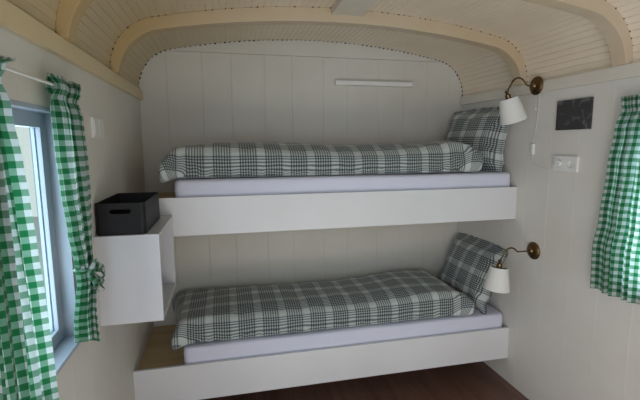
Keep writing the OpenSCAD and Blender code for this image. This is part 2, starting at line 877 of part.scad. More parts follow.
// Places what is measured from the lining and from the middle of the upper lamp's plate.
module at_upper_plate() {
    in_room() translate([hw, upper_lamp_y, upper_lamp_z]) children();
}

module lamp_lead() {
    color("#e4e3df") at_upper_plate() for (p = [upper_lead, lower_lead])
        swept_lead(finer(p), lead_d);
}

// Switch on the flex, hanging against the wall.
module cord_switch() {
    color("#e8e7e2") at_upper_plate() translate(upper_lead[len(upper_lead) - 1])
        translate([-cord_switch_t / 2, -cord_switch_w / 2, -cord_switch_l])
            rounded_box(cord_switch_t, cord_switch_w, cord_switch_l, 5);
}

// Angled plug in the socket's far well, with its flex leaving sideways and down.
module cord_plug() {
    end = lower_lead[len(lower_lead) - 1];
    way = end - lower_lead[len(lower_lead) - 2];
    color("#e8e7e2") {
        in_room() translate([hw - socket_t + well_depth - plug_t, socket_y + well_y,
            socket_top - plate_h / 2]) rotate([0, 90, 0]) cylinder(d = plug_d, h = plug_t);
        at_upper_plate() translate(end) rotate([atan2(-way[1], way[2]), 0, 0])
            cylinder(d1 = lead_d + 3, d2 = relief_d, h = relief_l);
    }
}

// Pull string of the upper lamp with its turned knob, under the wall plate's rim.
module pull_string() {
    color("#e4e3df") at_upper_plate() translate([-cornice_t - 2, -5, -plate_d / 2 - string_l]) {
        cylinder(d = string_d, h = string_l);
        translate([0, 0, -knob_h]) cylinder(d1 = knob_d, d2 = knob_d - 3, h = knob_h);
    }
}

floor_bearers();
floor_boards();
end_wall_lining();
end_wall_frieze();
end_wall_core();
end_wall_cladding();
side_wall_linings();
side_wall_cores();
side_wall_claddings();
wall_cornices();
roof_bows();
ceiling_boards();
ceiling_strip();
eaves_fillings();
roof_covering();
bunk_cleats();
bunk_bases();
bunk_fronts();
mattresses();
upper_duvet();
lower_duvet();
upper_pillow();
lower_pillow();
window_frames();
window_panes();
curtain_rods();
left_far_curtain();
left_near_curtain();
right_far_curtain();
right_near_curtain();
strip_light();
upper_lamp_arm();
upper_lamp_head();
upper_lamp_shade();
lower_lamp_arm();
lower_lamp_head();
lower_lamp_shade();
lamp_lead();
cord_switch();
cord_plug();
pull_string();
shelf_box();
basket();
light_switch();
double_socket();
wall_picture();
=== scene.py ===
"""Looks of the bunk end of a shepherds hut, from its boards and bows to its bedding and lamps.

Everything is in metres and in the frame's own axes: +X right, +Y towards the end wall, +Z up.
Heights and places given as room values count from the floor's top, the room's middle and the
inner face of the end wall; Room.at() puts them into the frame.
"""

import json
import logging
import math
import random
from dataclasses import dataclass
from enum import Enum
from typing import Iterable, Sequence

import bmesh
import bpy
import numpy as np
from bmesh.types import BMEdge, BMFace, BMVert
from bpy.types import Material, MeshVertex, Node, NodeSocket, NodeTree, Object
from mathutils import Matrix, Vector, noise


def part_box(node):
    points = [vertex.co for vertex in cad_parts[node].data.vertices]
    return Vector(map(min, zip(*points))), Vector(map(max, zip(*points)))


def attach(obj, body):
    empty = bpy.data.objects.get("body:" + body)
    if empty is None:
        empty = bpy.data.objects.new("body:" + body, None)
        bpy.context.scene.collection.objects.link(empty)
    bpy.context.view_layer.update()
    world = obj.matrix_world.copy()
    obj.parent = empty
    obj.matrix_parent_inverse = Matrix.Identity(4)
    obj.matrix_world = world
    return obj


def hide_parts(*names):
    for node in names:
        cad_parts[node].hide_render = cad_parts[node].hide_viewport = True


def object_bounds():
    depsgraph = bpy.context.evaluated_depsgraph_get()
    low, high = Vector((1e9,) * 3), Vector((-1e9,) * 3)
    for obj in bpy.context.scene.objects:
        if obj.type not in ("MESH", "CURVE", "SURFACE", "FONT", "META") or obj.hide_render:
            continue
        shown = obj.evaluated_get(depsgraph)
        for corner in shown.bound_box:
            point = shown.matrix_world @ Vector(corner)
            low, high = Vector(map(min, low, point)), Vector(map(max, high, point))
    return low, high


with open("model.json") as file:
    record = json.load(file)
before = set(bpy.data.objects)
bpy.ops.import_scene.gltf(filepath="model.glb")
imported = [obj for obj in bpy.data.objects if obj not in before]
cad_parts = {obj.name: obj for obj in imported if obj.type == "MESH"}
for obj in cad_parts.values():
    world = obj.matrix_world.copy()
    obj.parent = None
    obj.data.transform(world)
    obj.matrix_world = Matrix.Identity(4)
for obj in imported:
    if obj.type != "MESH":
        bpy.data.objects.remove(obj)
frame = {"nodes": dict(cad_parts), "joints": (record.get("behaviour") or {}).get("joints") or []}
CAD_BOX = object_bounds()
LOG = logging.getLogger("hut")
MM = 0.001
TOUCH = 0.01 * MM  # places closer than this count as the same

Keys = Sequence[tuple[float, float]]
Stops = tuple[tuple[float, str], ...]
Colour = tuple[float, float, float, float]


class Body(Enum):
    """The frame's moving bodies."""

    HUT = "hut"
    UPPER_LAMP = "upper_lamp"
    LOWER_LAMP = "lower_lamp"


class Axis(Enum):
    """Directions along which boards, grain and brush marks run."""

    X = 0
    Y = 1
    Z = 2

    def unit(self) -> Vector:
        """Gives the direction as a vector of length one."""
        return Vector([float(i == self.value) for i in range(3)])

    def streaks(self, times: float) -> list[float]:
        """Gives the scale of a Mapping node that draws a pattern out along this direction."""
        return [1.0 / times if i == self.value else 1.0 for i in range(3)]


class Side(Enum):
    """The two long walls, by the sign of their X."""

    LEFT = -1
    RIGHT = 1


@dataclass(frozen=True)
class Room:
    """Where the room's faces lie in the frame.

    Attributes:
        half: From the room's middle to the boards of a side wall.
        end: Y of the end wall's inner face.
        floor: Z of the floor's top.
        spring: Z where the ceiling leaves the side walls.
        crown: Z of the ceiling's highest line.
    """

    half: float
    end: float
    floor: float
    spring: float
    crown: float

    @classmethod
    def from_frame(cls) -> "Room":
        """Reads the room's faces from the boxes of the nodes that touch them.

        Returns:
            The room.
        """
        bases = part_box("bunk_bases")
        return cls(
            half=bases[1].x,
            end=bases[1].y,
            floor=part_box("floor_boards")[1].z,
            spring=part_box("wall_cornices")[1].z,
            crown=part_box("roof_bows")[1].z,
        )

    def at(self, x: float, y: float, z: float) -> Vector:
        """Turns a place in the room into one in the frame."""
        return Vector((x, y + self.end, z + self.floor))


ROOM = Room.from_frame()


def linear(code: str, alpha: float = 1.0) -> Colour:
    """Turns an sRGB hex colour into linear light.

    Args:
        code: Six hex digits, with or without a leading hash.
        alpha: The fourth number of the result.

    Returns:
        Red, green, blue and alpha for a colour socket.
    """
    parts = [int(code.lstrip("#")[i:i + 2], 16) / 255 for i in (0, 2, 4)]
    light = [c / 12.92 if c <= 0.04045 else ((c + 0.055) / 1.055) ** 2.4 for c in parts]
    return (light[0], light[1], light[2], alpha)


def feed(tree: NodeTree, node: Node, inputs: dict) -> None:
    """Links or sets the inputs of a node.

    Args:
        tree: The node's tree.
        node: The node.
        inputs: For each input, by name or number, the output or the value that feeds it.
    """
    for name, value in inputs.items():
        if isinstance(value, NodeSocket):
            tree.links.new(value, node.inputs[name])
        else:
            node.inputs[name].default_value = value


def add(tree: NodeTree, kind: str, inputs: dict | None = None, stops: Stops = (),
        **settings: object) -> Node:
    """Adds one node to a material.

    Args:
        tree: The material's node tree.
        kind: The node's type without its ShaderNode prefix.
        inputs: For each input, by name or number, the output or the value that feeds it.
        stops: For a colour ramp, its places and hex colours.
        settings: The node's own properties.

    Returns:
        The new node.
    """
    node = tree.nodes.new("ShaderNode" + kind)
    for name, value in settings.items():
        setattr(node, name, value)
    feed(tree, node, inputs or {})
    for i, (place, code) in enumerate(stops):
        elements = node.color_ramp.elements
        stop = elements[i] if i < len(elements) else elements.new(place)
        stop.position = place
        stop.color = linear(code)
    return node


def per_mm(size: float) -> float:
    """Gives the scale of a texture node whose pattern has a real size in millimetres."""
    return 1 / (size * MM)


@dataclass(frozen=True)
class Finish:
    """What all finishes share: a name, and a slot name from the record."""

    name: str
    slot: str

    def material(self) -> Material:
        """Makes the material the first time, and finds the same one after that.

        Returns:
            The material.
        """
        found = bpy.data.materials.get(self.name)
        if found:
            return found
        made = bpy.data.materials.new(self.name)
        made.use_nodes = True
        tree = made.node_tree
        tree.nodes.clear()
        shader = add(tree, "BsdfPrincipled")
        surface = self.paint(tree, shader)
        add(tree, "OutputMaterial", {"Surface": surface.outputs[0]})
        return made

    def paint(self, tree: NodeTree, shader: Node) -> Node:
        """Feeds the shader; each kind of finish has its own.

        Args:
            tree: The material's node tree.
            shader: Its principled shader.

        Returns:
            The node that gives the material's surface.
        """
        raise NotImplementedError


@dataclass(frozen=True)
class PaintedWood(Finish):
    """Brushed oil paint on softwood: a soft sheen, faint brush marks and uneven tone.

    Attributes:
        colour: The paint where it is clean and thick.
        tint: The paint where it is thin, handled or in a dusty spot.
        roughness: Higher is more matt.
        along: Direction of the brush marks.
        left_warm_shade: Painted warm shade: the colour that the paint turns to towards the
            left-hand wall.
    """

    colour: str
    tint: str
    roughness: float = 0.42
    along: Axis = Axis.Z
    left_warm_shade: str | None = None

    MARK_MM = 5.0  # bristle marks are about 1 mm; drawn this wide so that they show
    STREAK = 30.0  # length of a mark in widths
    PATCH_MM = 420.0
    WARM_SHADE_SPAN = {"From Min": -0.3, "From Max": -1.0}  # X where the painted warm shade starts, and where it is full

    def paint(self, tree: NodeTree, shader: Node) -> Node:
        """Mixes the two tones by soft patches, and raises the brush marks.

        Args:
            tree: The material's node tree.
            shader: Its principled shader.

        Returns:
            The shader.
        """
        place = add(tree, "TexCoord").outputs["Object"]
        turned = add(tree, "Mapping", {"Vector": place, "Scale": self.along.streaks(self.STREAK)})
        marks = add(tree, "TexNoise", {"Vector": turned.outputs[0], "Scale": per_mm(self.MARK_MM),
                                       "Detail": 3.0, "Roughness": 0.6})
        patch = add(tree, "TexNoise", {"Vector": place, "Scale": per_mm(self.PATCH_MM),
                                       "Detail": 4.0, "Roughness": 0.55})
        share = add(tree, "MapRange", {"Value": patch.outputs[0], "From Min": 0.35,
                                       "From Max": 0.75, "To Min": 0.0, "To Max": 0.75})
        tone = add(tree, "Mix", {0: share.outputs[0], 6: linear(self.colour),
                                 7: linear(self.tint)}, data_type="RGBA")
        # Painted warm shade: the tone turns yellower and darker towards the left-hand wall.
        if self.left_warm_shade:
            across = add(tree, "SeparateXYZ", {0: place})
            warm_shaded = add(tree, "MapRange", {"Value": across.outputs[0], **self.WARM_SHADE_SPAN})
            tone = add(tree, "Mix", {0: warm_shaded.outputs[0], 6: tone.outputs[2],
                                     7: linear(self.left_warm_shade)}, data_type="RGBA")
        rough = add(tree, "MapRange", {"Value": marks.outputs[0], "To Min": self.roughness - 0.08,
                                       "To Max": self.roughness + 0.12})
        bump = add(tree, "Bump", {"Height": marks.outputs[0], "Strength": 0.22,
                                  "Distance": 0.5 * MM})
        feed(tree, shader, {"Base Color": tone.outputs[2], "Roughness": rough.outputs[0],
                            "Normal": bump.outputs[0]})
        return shader


@dataclass(frozen=True)
class SawnPine(Finish):
    """Bare or stained softwood: long grain lines, darker late wood, a dry surface.

    Attributes:
        light: The early wood.
        dark: The late wood.
        along: Direction of the grain.
        roughness: Higher is drier.
        grain_mm: Width of a grain line.
    """

    light: str
    dark: str
    along: Axis = Axis.Y
    roughness: float = 0.62
    grain_mm: float = 9.0

    STREAK = 22.0  # length of a grain line in widths
    BAND_MM = 70.0  # width of the broad bands of light and dark
    EARLY, LATE = 0.36, 0.66  # where the grain's tone is all light, and all dark

    def paint(self, tree: NodeTree, shader: Node) -> Node:
        """Draws the grain as stretched noise along the piece and lifts it a little.

        Args:
            tree: The material's node tree.
            shader: Its principled shader.

        Returns:
            The shader.
        """
        place = add(tree, "TexCoord").outputs["Object"]
        turned = add(tree, "Mapping", {"Vector": place, "Scale": self.along.streaks(self.STREAK)})
        grain = add(tree, "TexNoise", {"Vector": turned.outputs[0],
                                       "Scale": per_mm(self.grain_mm), "Detail": 5.0,
                                       "Roughness": 0.65, "Distortion": 0.6})
        broad = add(tree, "TexNoise", {"Vector": turned.outputs[0],
                                       "Scale": per_mm(self.BAND_MM), "Detail": 2.0})
        both = add(tree, "Math", {0: grain.outputs[0], 1: broad.outputs[0]}, operation="ADD")
        half = add(tree, "Math", {0: both.outputs[0], 1: 0.5}, operation="MULTIPLY")
        tone = add(tree, "ValToRGB", {"Fac": half.outputs[0]},
                   stops=((self.EARLY, self.light), (self.LATE, self.dark)))
        bump = add(tree, "Bump", {"Height": grain.outputs[0], "Strength": 0.3,
                                  "Distance": 0.4 * MM})
        feed(tree, shader, {"Base Color": tone.outputs[0], "Normal": bump.outputs[0],
                            "Roughness": self.roughness})
        return shader


@dataclass(frozen=True)
class Cloth(Finish):
    """Woven cotton, patterned by the cloth attribute: metres along weft and warp.

    Attributes:
        warp: Stops of the stripes across the cloth, as shares of the repeat.
        weft: Stops of the stripes along the cloth.
        repeat_mm: Size of the pattern's repeat.
        thread_mm: Thread spacing; real cotton's is 0.4 mm, drawn coarser so that it shows.
        glow: How much light comes through, as in a curtain against a window.
        fuzz: How much the raised fibres catch the light.
        slub: Unevenness of the yarn's tone.
        mixed: How far warp and weft show side by side, where 0 has them darken each other.
    """

    warp: Stops
    weft: Stops
    repeat_mm: float
    thread_mm: float = 2.2
    glow: float = 0.0
    fuzz: float = 0.25
    slub: float = 0.06
    mixed: float = 0.0

    def paint(self, tree: NodeTree, shader: Node) -> Node:
        """Lays the warp's stripes over the weft's, and raises the threads.

        Args:
            tree: The material's node tree.
            shader: Its principled shader.

        Returns:
            The shader, or its mix with the light that comes through.
        """
        cloth = add(tree, "Attribute", attribute_name="cloth").outputs["Vector"]
        parts = add(tree, "SeparateXYZ", {0: cloth})
        tones, threads = [], []
        for axis, stops in ((0, self.warp), (1, self.weft)):
            turns = add(tree, "Math", {0: parts.outputs[axis], 1: per_mm(self.repeat_mm)},
                        operation="MULTIPLY")
            share = add(tree, "Math", {0: turns.outputs[0], 1: 1.0, 2: 0.0}, operation="WRAP")
            ramp = add(tree, "ValToRGB", {"Fac": share.outputs[0]}, stops=stops)
            ramp.color_ramp.interpolation = "CONSTANT"
            tones.append(ramp.outputs[0])
            rows = add(tree, "Math", {0: parts.outputs[axis],
                                      1: math.tau * per_mm(self.thread_mm)},
                       operation="MULTIPLY")
            threads.append(add(tree, "Math", {0: rows.outputs[0]}, operation="SINE").outputs[0])
        darker = add(tree, "Mix", {0: 1.0, 6: tones[0], 7: tones[1]}, data_type="RGBA",
                     blend_type="MULTIPLY")
        mean = add(tree, "Mix", {0: 0.5, 6: tones[0], 7: tones[1]}, data_type="RGBA")
        both = add(tree, "Mix", {0: self.mixed, 6: darker.outputs[2], 7: mean.outputs[2]},
                   data_type="RGBA")
        weave = add(tree, "Math", {0: threads[0], 1: threads[1]}, operation="MULTIPLY")
        slub = add(tree, "TexNoise", {"Vector": cloth, "Scale": 60.0, "Detail": 4.0})
        shade = add(tree, "MapRange", {"Value": slub.outputs[0], "From Min": 0.3,
                                       "From Max": 0.7, "To Min": 1 - self.slub,
                                       "To Max": 1 + self.slub})
        toned = add(tree, "Mix", {0: 1.0, 6: both.outputs[2], 7: shade.outputs[0]},
                    data_type="RGBA", blend_type="MULTIPLY")
        bump = add(tree, "Bump", {"Height": weave.outputs[0], "Strength": 0.25,
                                  "Distance": 0.25 * MM})
        feed(tree, shader, {"Base Color": toned.outputs[2], "Normal": bump.outputs[0],
                            "Roughness": 0.85, "Specular IOR Level": 0.25,
                            "Sheen Weight": self.fuzz, "Sheen Roughness": 0.5})
        if not self.glow:
            return shader
        through = add(tree, "BsdfTranslucent", {"Color": toned.outputs[2]})
        return add(tree, "MixShader", {0: self.glow, 1: shader.outputs[0], 2: through.outputs[0]})


@dataclass(frozen=True)
class PlainCotton(Finish):
    """Percale sheet: fine, nearly smooth, cool white, with soft creases and painted shade along
    them.

    Attributes:
        colour: The cloth where it lies flat.
        tint: The cloth darker along the creases, as painted shade.
    """

    colour: str
    tint: str

    def paint(self, tree: NodeTree, shader: Node) -> Node:
        """Adds faint tonal clouds of painted shade that follow long shallow creases.

        Args:
            tree: The material's node tree.
            shader: Its principled shader.

        Returns:
            The shader.
        """
        place = add(tree, "TexCoord").outputs["Object"]
        flat = add(tree, "Mapping", {"Vector": place, "Scale": (0.35, 1.0, 1.6)})
        cloud = add(tree, "TexNoise", {"Vector": flat.outputs[0], "Scale": 26.0, "Detail": 3.0,
                                       "Distortion": 0.4})
        # Painted shade: the noise that makes the creases also darkens the tone.
        tone = add(tree, "Mix", {0: cloud.outputs[0], 6: linear(self.colour),
                                 7: linear(self.tint)}, data_type="RGBA")
        fine = add(tree, "TexNoise", {"Vector": place, "Scale": 420.0, "Detail": 2.0})
        crease = add(tree, "Bump", {"Height": cloud.outputs[0], "Strength": 0.35,
                                    "Distance": 2 * MM})
        bump = add(tree, "Bump", {"Height": fine.outputs[0], "Strength": 0.12,
                                  "Distance": 0.3 * MM, "Normal": crease.outputs[0]})
        feed(tree, shader, {"Base Color": tone.outputs[2], "Normal": bump.outputs[0],
                            "Roughness": 0.8, "Sheen Weight": 0.2})
        return shader


@dataclass(frozen=True)
class Moulded(Finish):
    """Injection-moulded plastic: even colour, faint mould texture, a soft or hard gloss.

    Attributes:
        colour: The plastic.
        tint: The plastic where its tone drifts by a hair.
        roughness: Higher is more matt.
        grit_mm: Size of the mould texture's grains.
        shine: Strength of its gloss; 0.5 is plain plastic.
    """

    colour: str
    tint: str
    roughness: float
    grit_mm: float = 1.5
    shine: float = 0.5

    def paint(self, tree: NodeTree, shader: Node) -> Node:
        """Varies the tone by a hair and roughens the skin.

        Args:
            tree: The material's node tree.
            shader: Its principled shader.

        Returns:
            The shader.
        """
        place = add(tree, "TexCoord").outputs["Object"]
        grit = add(tree, "TexNoise", {"Vector": place, "Scale": per_mm(self.grit_mm),
                                      "Detail": 2.0})
        cloud = add(tree, "TexNoise", {"Vector": place, "Scale": 14.0, "Detail": 3.0})
        tone = add(tree, "Mix", {0: cloud.outputs[0], 6: linear(self.colour),
                                 7: linear(self.tint)}, data_type="RGBA")
        bump = add(tree, "Bump", {"Height": grit.outputs[0], "Strength": 0.08,
                                  "Distance": 0.1 * MM})
        feed(tree, shader, {"Base Color": tone.outputs[2], "Normal": bump.outputs[0],
                            "Roughness": self.roughness, "Specular IOR Level": self.shine})
        return shader


@dataclass(frozen=True)
class AgedMetal(Finish):
    """Metal with a worn skin: bright where it is rubbed, brown or dull in the hollows.

    Attributes:
        bright: The metal where it is rubbed.
        dull: The metal in the hollows.
        roughness: Higher is more matt.
        metallic: 1 for bare metal, 0 for a painted one.
    """

    bright: str
    dull: str
    roughness: float
    metallic: float = 1.0

    def paint(self, tree: NodeTree, shader: Node) -> Node:
        """Mixes bright and dull by cloudy patches, which also set the roughness.

        Args:
            tree: The material's node tree.
            shader: Its principled shader.

        Returns:
            The shader.
        """
        place = add(tree, "TexCoord").outputs["Object"]
        cloud = add(tree, "TexNoise", {"Vector": place, "Scale": 45.0, "Detail": 6.0,
                                       "Roughness": 0.65})
        share = add(tree, "MapRange", {"Value": cloud.outputs[0], "From Min": 0.35,
                                       "From Max": 0.68})
        tone = add(tree, "Mix", {0: share.outputs[0], 6: linear(self.bright),
                                 7: linear(self.dull)}, data_type="RGBA")
        rough = add(tree, "MapRange", {"Value": share.outputs[0], "To Min": self.roughness - 0.08,
                                       "To Max": self.roughness + 0.15})
        bump = add(tree, "Bump", {"Height": cloud.outputs[0], "Strength": 0.06,
                                  "Distance": 0.4 * MM})
        feed(tree, shader, {"Base Color": tone.outputs[2], "Roughness": rough.outputs[0],
                            "Normal": bump.outputs[0], "Metallic": self.metallic})
        return shader


@dataclass(frozen=True)
class FloatGlass(Finish):
    """Window glass: clear, faintly green, thin enough to let the daylight straight through.

    Attributes:
        colour: The tint of what is seen through it.
    """

    colour: str

    def paint(self, tree: NodeTree, shader: Node) -> Node:
        """Mixes a clear pass-through with a sharp reflection, and drops the plain shader.

        Args:
            tree: The material's node tree.
            shader: Its principled shader.

        Returns:
            The mix.
        """
        tree.nodes.remove(shader)
        place = add(tree, "TexCoord").outputs["Object"]
        ripple = add(tree, "TexNoise", {"Vector": place, "Scale": 5.0, "Detail": 1.0})
        bump = add(tree, "Bump", {"Height": ripple.outputs[0], "Strength": 0.05,
                                  "Distance": 1 * MM})
        gloss = add(tree, "BsdfGlossy", {"Roughness": 0.03, "Normal": bump.outputs[0]})
        clear = add(tree, "BsdfTransparent", {"Color": linear(self.colour)})
        edge = add(tree, "Fresnel", {"IOR": 1.45})
        # Only the face that the light meets first reflects; the other would trap it.
        inner = add(tree, "NewGeometry").outputs["Backfacing"]
        outer = add(tree, "Math", {0: 1.0, 1: inner}, operation="SUBTRACT")
        share = add(tree, "Math", {0: edge.outputs[0], 1: outer.outputs[0]},
                    operation="MULTIPLY")
        return add(tree, "MixShader", {0: share.outputs[0], 1: clear.outputs[0],
                                       2: gloss.outputs[0]})


@dataclass(frozen=True)
class DarkPrint(Finish):
    """Matt photographic paper on board: near black, with a few soft pale shapes of no subject.

    Attributes:
        ground: The paper where nothing shows.
        pale: The palest that its shapes get.
    """

    ground: str
    pale: str

    def paint(self, tree: NodeTree, shader: Node) -> Node:
        """Lets soft noise lift a few places out of the black.

        Args:
            tree: The material's node tree.
            shader: Its principled shader.

        Returns:
            The shader.
        """
        place = add(tree, "TexCoord").outputs["Object"]
        blobs = add(tree, "TexNoise", {"Vector": place, "Scale": 17.0, "Detail": 3.0,
                                       "Distortion": 0.6})
        share = add(tree, "MapRange", {"Value": blobs.outputs[0], "From Min": 0.54,
                                       "From Max": 0.78, "To Max": 0.6})
        tone = add(tree, "Mix", {0: share.outputs[0], 6: linear(self.ground),
                                 7: linear(self.pale)}, data_type="RGBA")
        feed(tree, shader, {"Base Color": tone.outputs[2], "Roughness": 0.5})
        return shader


# Off-white eggshell on the wall boards reads warm grey in the room's soft light.
WALL_PAINT = PaintedWood("eggshell_wall_paint", "painted_boards", "#cac8be", "#c0bcae", 0.5)
SIDE_PAINT = PaintedWood("eggshell_side_wall_paint", "painted_boards", "#d3d1ca", "#c9c5ba", 0.5)
OUTER_PAINT = PaintedWood("weathered_outside_paint", "outer_boards", "#cfccc2", "#b7b3a5", 0.6)
# Cream gloss on the ceiling is yellower than the walls and catches the light in streaks.
# The last colour of the ceiling's, bows' and cornices' paints is painted warm shade towards the
# left-hand wall.
CEILING_PAINT = PaintedWood("cream_ceiling_gloss", "cream_boards", "#e0d3bf", "#d3c3a8", 0.42,
                            Axis.Y, "#bfae8c")
BOW_PAINT = PaintedWood("cream_bow_gloss", "cream_bows", "#c0b19a", "#bba27b", 0.36, Axis.X,
                        "#b39a6c")
CORNICE_PAINT = PaintedWood("cream_cornice_gloss", "cream_bows", "#cfcbc0", "#c8c0ae", 0.4, Axis.Y,
                            "#d0bf99")
STRIP_PAINT = PaintedWood("pale_ceiling_strip_gloss", "ceiling_strip_paint", "#cfc9bb", "#c4bba8",
                          0.38, Axis.Y)
# Cool white satin on the bunk boards is the brightest paint in the room.
BUNK_PAINT = PaintedWood("white_bunk_satin", "bunk_paint", "#d2d3d4", "#c8c9c9", 0.38, Axis.X)
# Painted shade: the shelf box's white satin is written a little darker than the bunks', for the
# curtain's shade on it.
SHELF_SHADED_PAINT = PaintedWood("white_shelf_satin_painted_shade", "shelf_paint", "#c6c7cb", "#bbbdc2", 0.36, Axis.Y)
# Painted shade: the windows' white gloss is written grey-blue, the tone of their backlit reveals.
WINDOW_SHADED_PAINT = PaintedWood("white_window_gloss_painted_shade", "window_paint", "#a9b2c0", "#9aa4b4", 0.3)
# Sawn timber is dry and yellow-brown; the stained floor is dark, red and a little shiny.
FRAMING = SawnPine("sawn_pine_framing", "wall_framing", "#b9a07a", "#9a7c52", Axis.Z)
BEARER_PINE = SawnPine("sawn_pine_bearers", "wall_framing", "#a8906c", "#876b47", Axis.Y)
BUNK_PINE = SawnPine("planed_pine_bunk_base", "bunk_timber", "#cdb890", "#b3966a", Axis.X)
FLOOR_STAIN = SawnPine("red_brown_stained_floor", "floor_boards_stain", "#76564a", "#573b30",
                       Axis.Y, 0.38, 14.0)
# Painted metal: grey sheet on the roof, white coat on the rods. Brass has gone brown.
ROOF_SHEET = AgedMetal("grey_painted_roof_sheet", "roof_sheet", "#8b9093", "#7a7e7f", 0.5, 0.0)
# Fitted sheets are a cool, faintly violet white.
SHEET_COTTON = PlainCotton("percale_sheet", "sheet_cotton", "#cdcfdd", "#c5c7d7")
# Brushed cotton tartan: a pale band, then seven fine dark lines, the same both ways.
PALE_BAND, LINE_STEP = 0.29, 0.0507  # as shares of the repeat
PLAID_STOPS = ((0.0, "#d9dddb"),) + tuple(
    (PALE_BAND + LINE_STEP * i, ("#797f83", "#ccd1ce")[i % 2]) for i in range(14))
PLAID = Cloth("brushed_cotton_tartan", "plaid_cotton", PLAID_STOPS, PLAID_STOPS, 138.0)
# Cotton gingham: half green, half white each way, so that the crossings give three tones.
GINGHAM_STOPS = ((0.0, "#328a5c"), (0.5, "#dce1e1"))
GINGHAM = Cloth("green_cotton_gingham", "gingham", GINGHAM_STOPS, GINGHAM_STOPS, 33.0, 1.6, 0.55,
                mixed=0.4)
# Card-backed linen shade: matt white, with a fine even weave.
SHADE_STOPS = ((0.0, "#f0f0ee"), (0.5, "#ecece9"))
SHADE_LINEN = Cloth("white_linen_shade", "shade_fabric", SHADE_STOPS, SHADE_STOPS, 4.0, 1.6, 0.1,
                    0.1, 0.015)
BRASS = AgedMetal("antique_brass", "aged_brass", "#80684a", "#54422c", 0.34)
ROD_METAL = AgedMetal("white_coated_rod_steel", "rod_metal", "#d6d4ce", "#c6c3bb", 0.4, 0.0)
# Hard glossy white for the fittings, softer for the flex, dull black for the basket.
WHITE_PLASTIC = Moulded("white_abs", "white_plastic", "#dfe0dc", "#d6d7d2", 0.28)
FLEX_PVC = Moulded("white_pvc_flex", "white_flex", "#dbdad5", "#d0cfc9", 0.4)
BLACK_PLASTIC = Moulded("black_polypropylene", "black_plastic", "#161617", "#101011", 0.55, 3.0,
                        0.25)
# Painted shadow: small dark dots stand for the shaded hollows at the ends of the ceiling's
# grooves.
GROOVE_SHADOW = Moulded("painted_groove_shadow", "wall_framing", "#2a2119", "#382d22", 0.9)
GLASS = FloatGlass("clear_float_glass", "window_glass", "#eaf3f1")
PRINT = DarkPrint("dark_print_on_board", "dark_print", "#333335", "#909193")


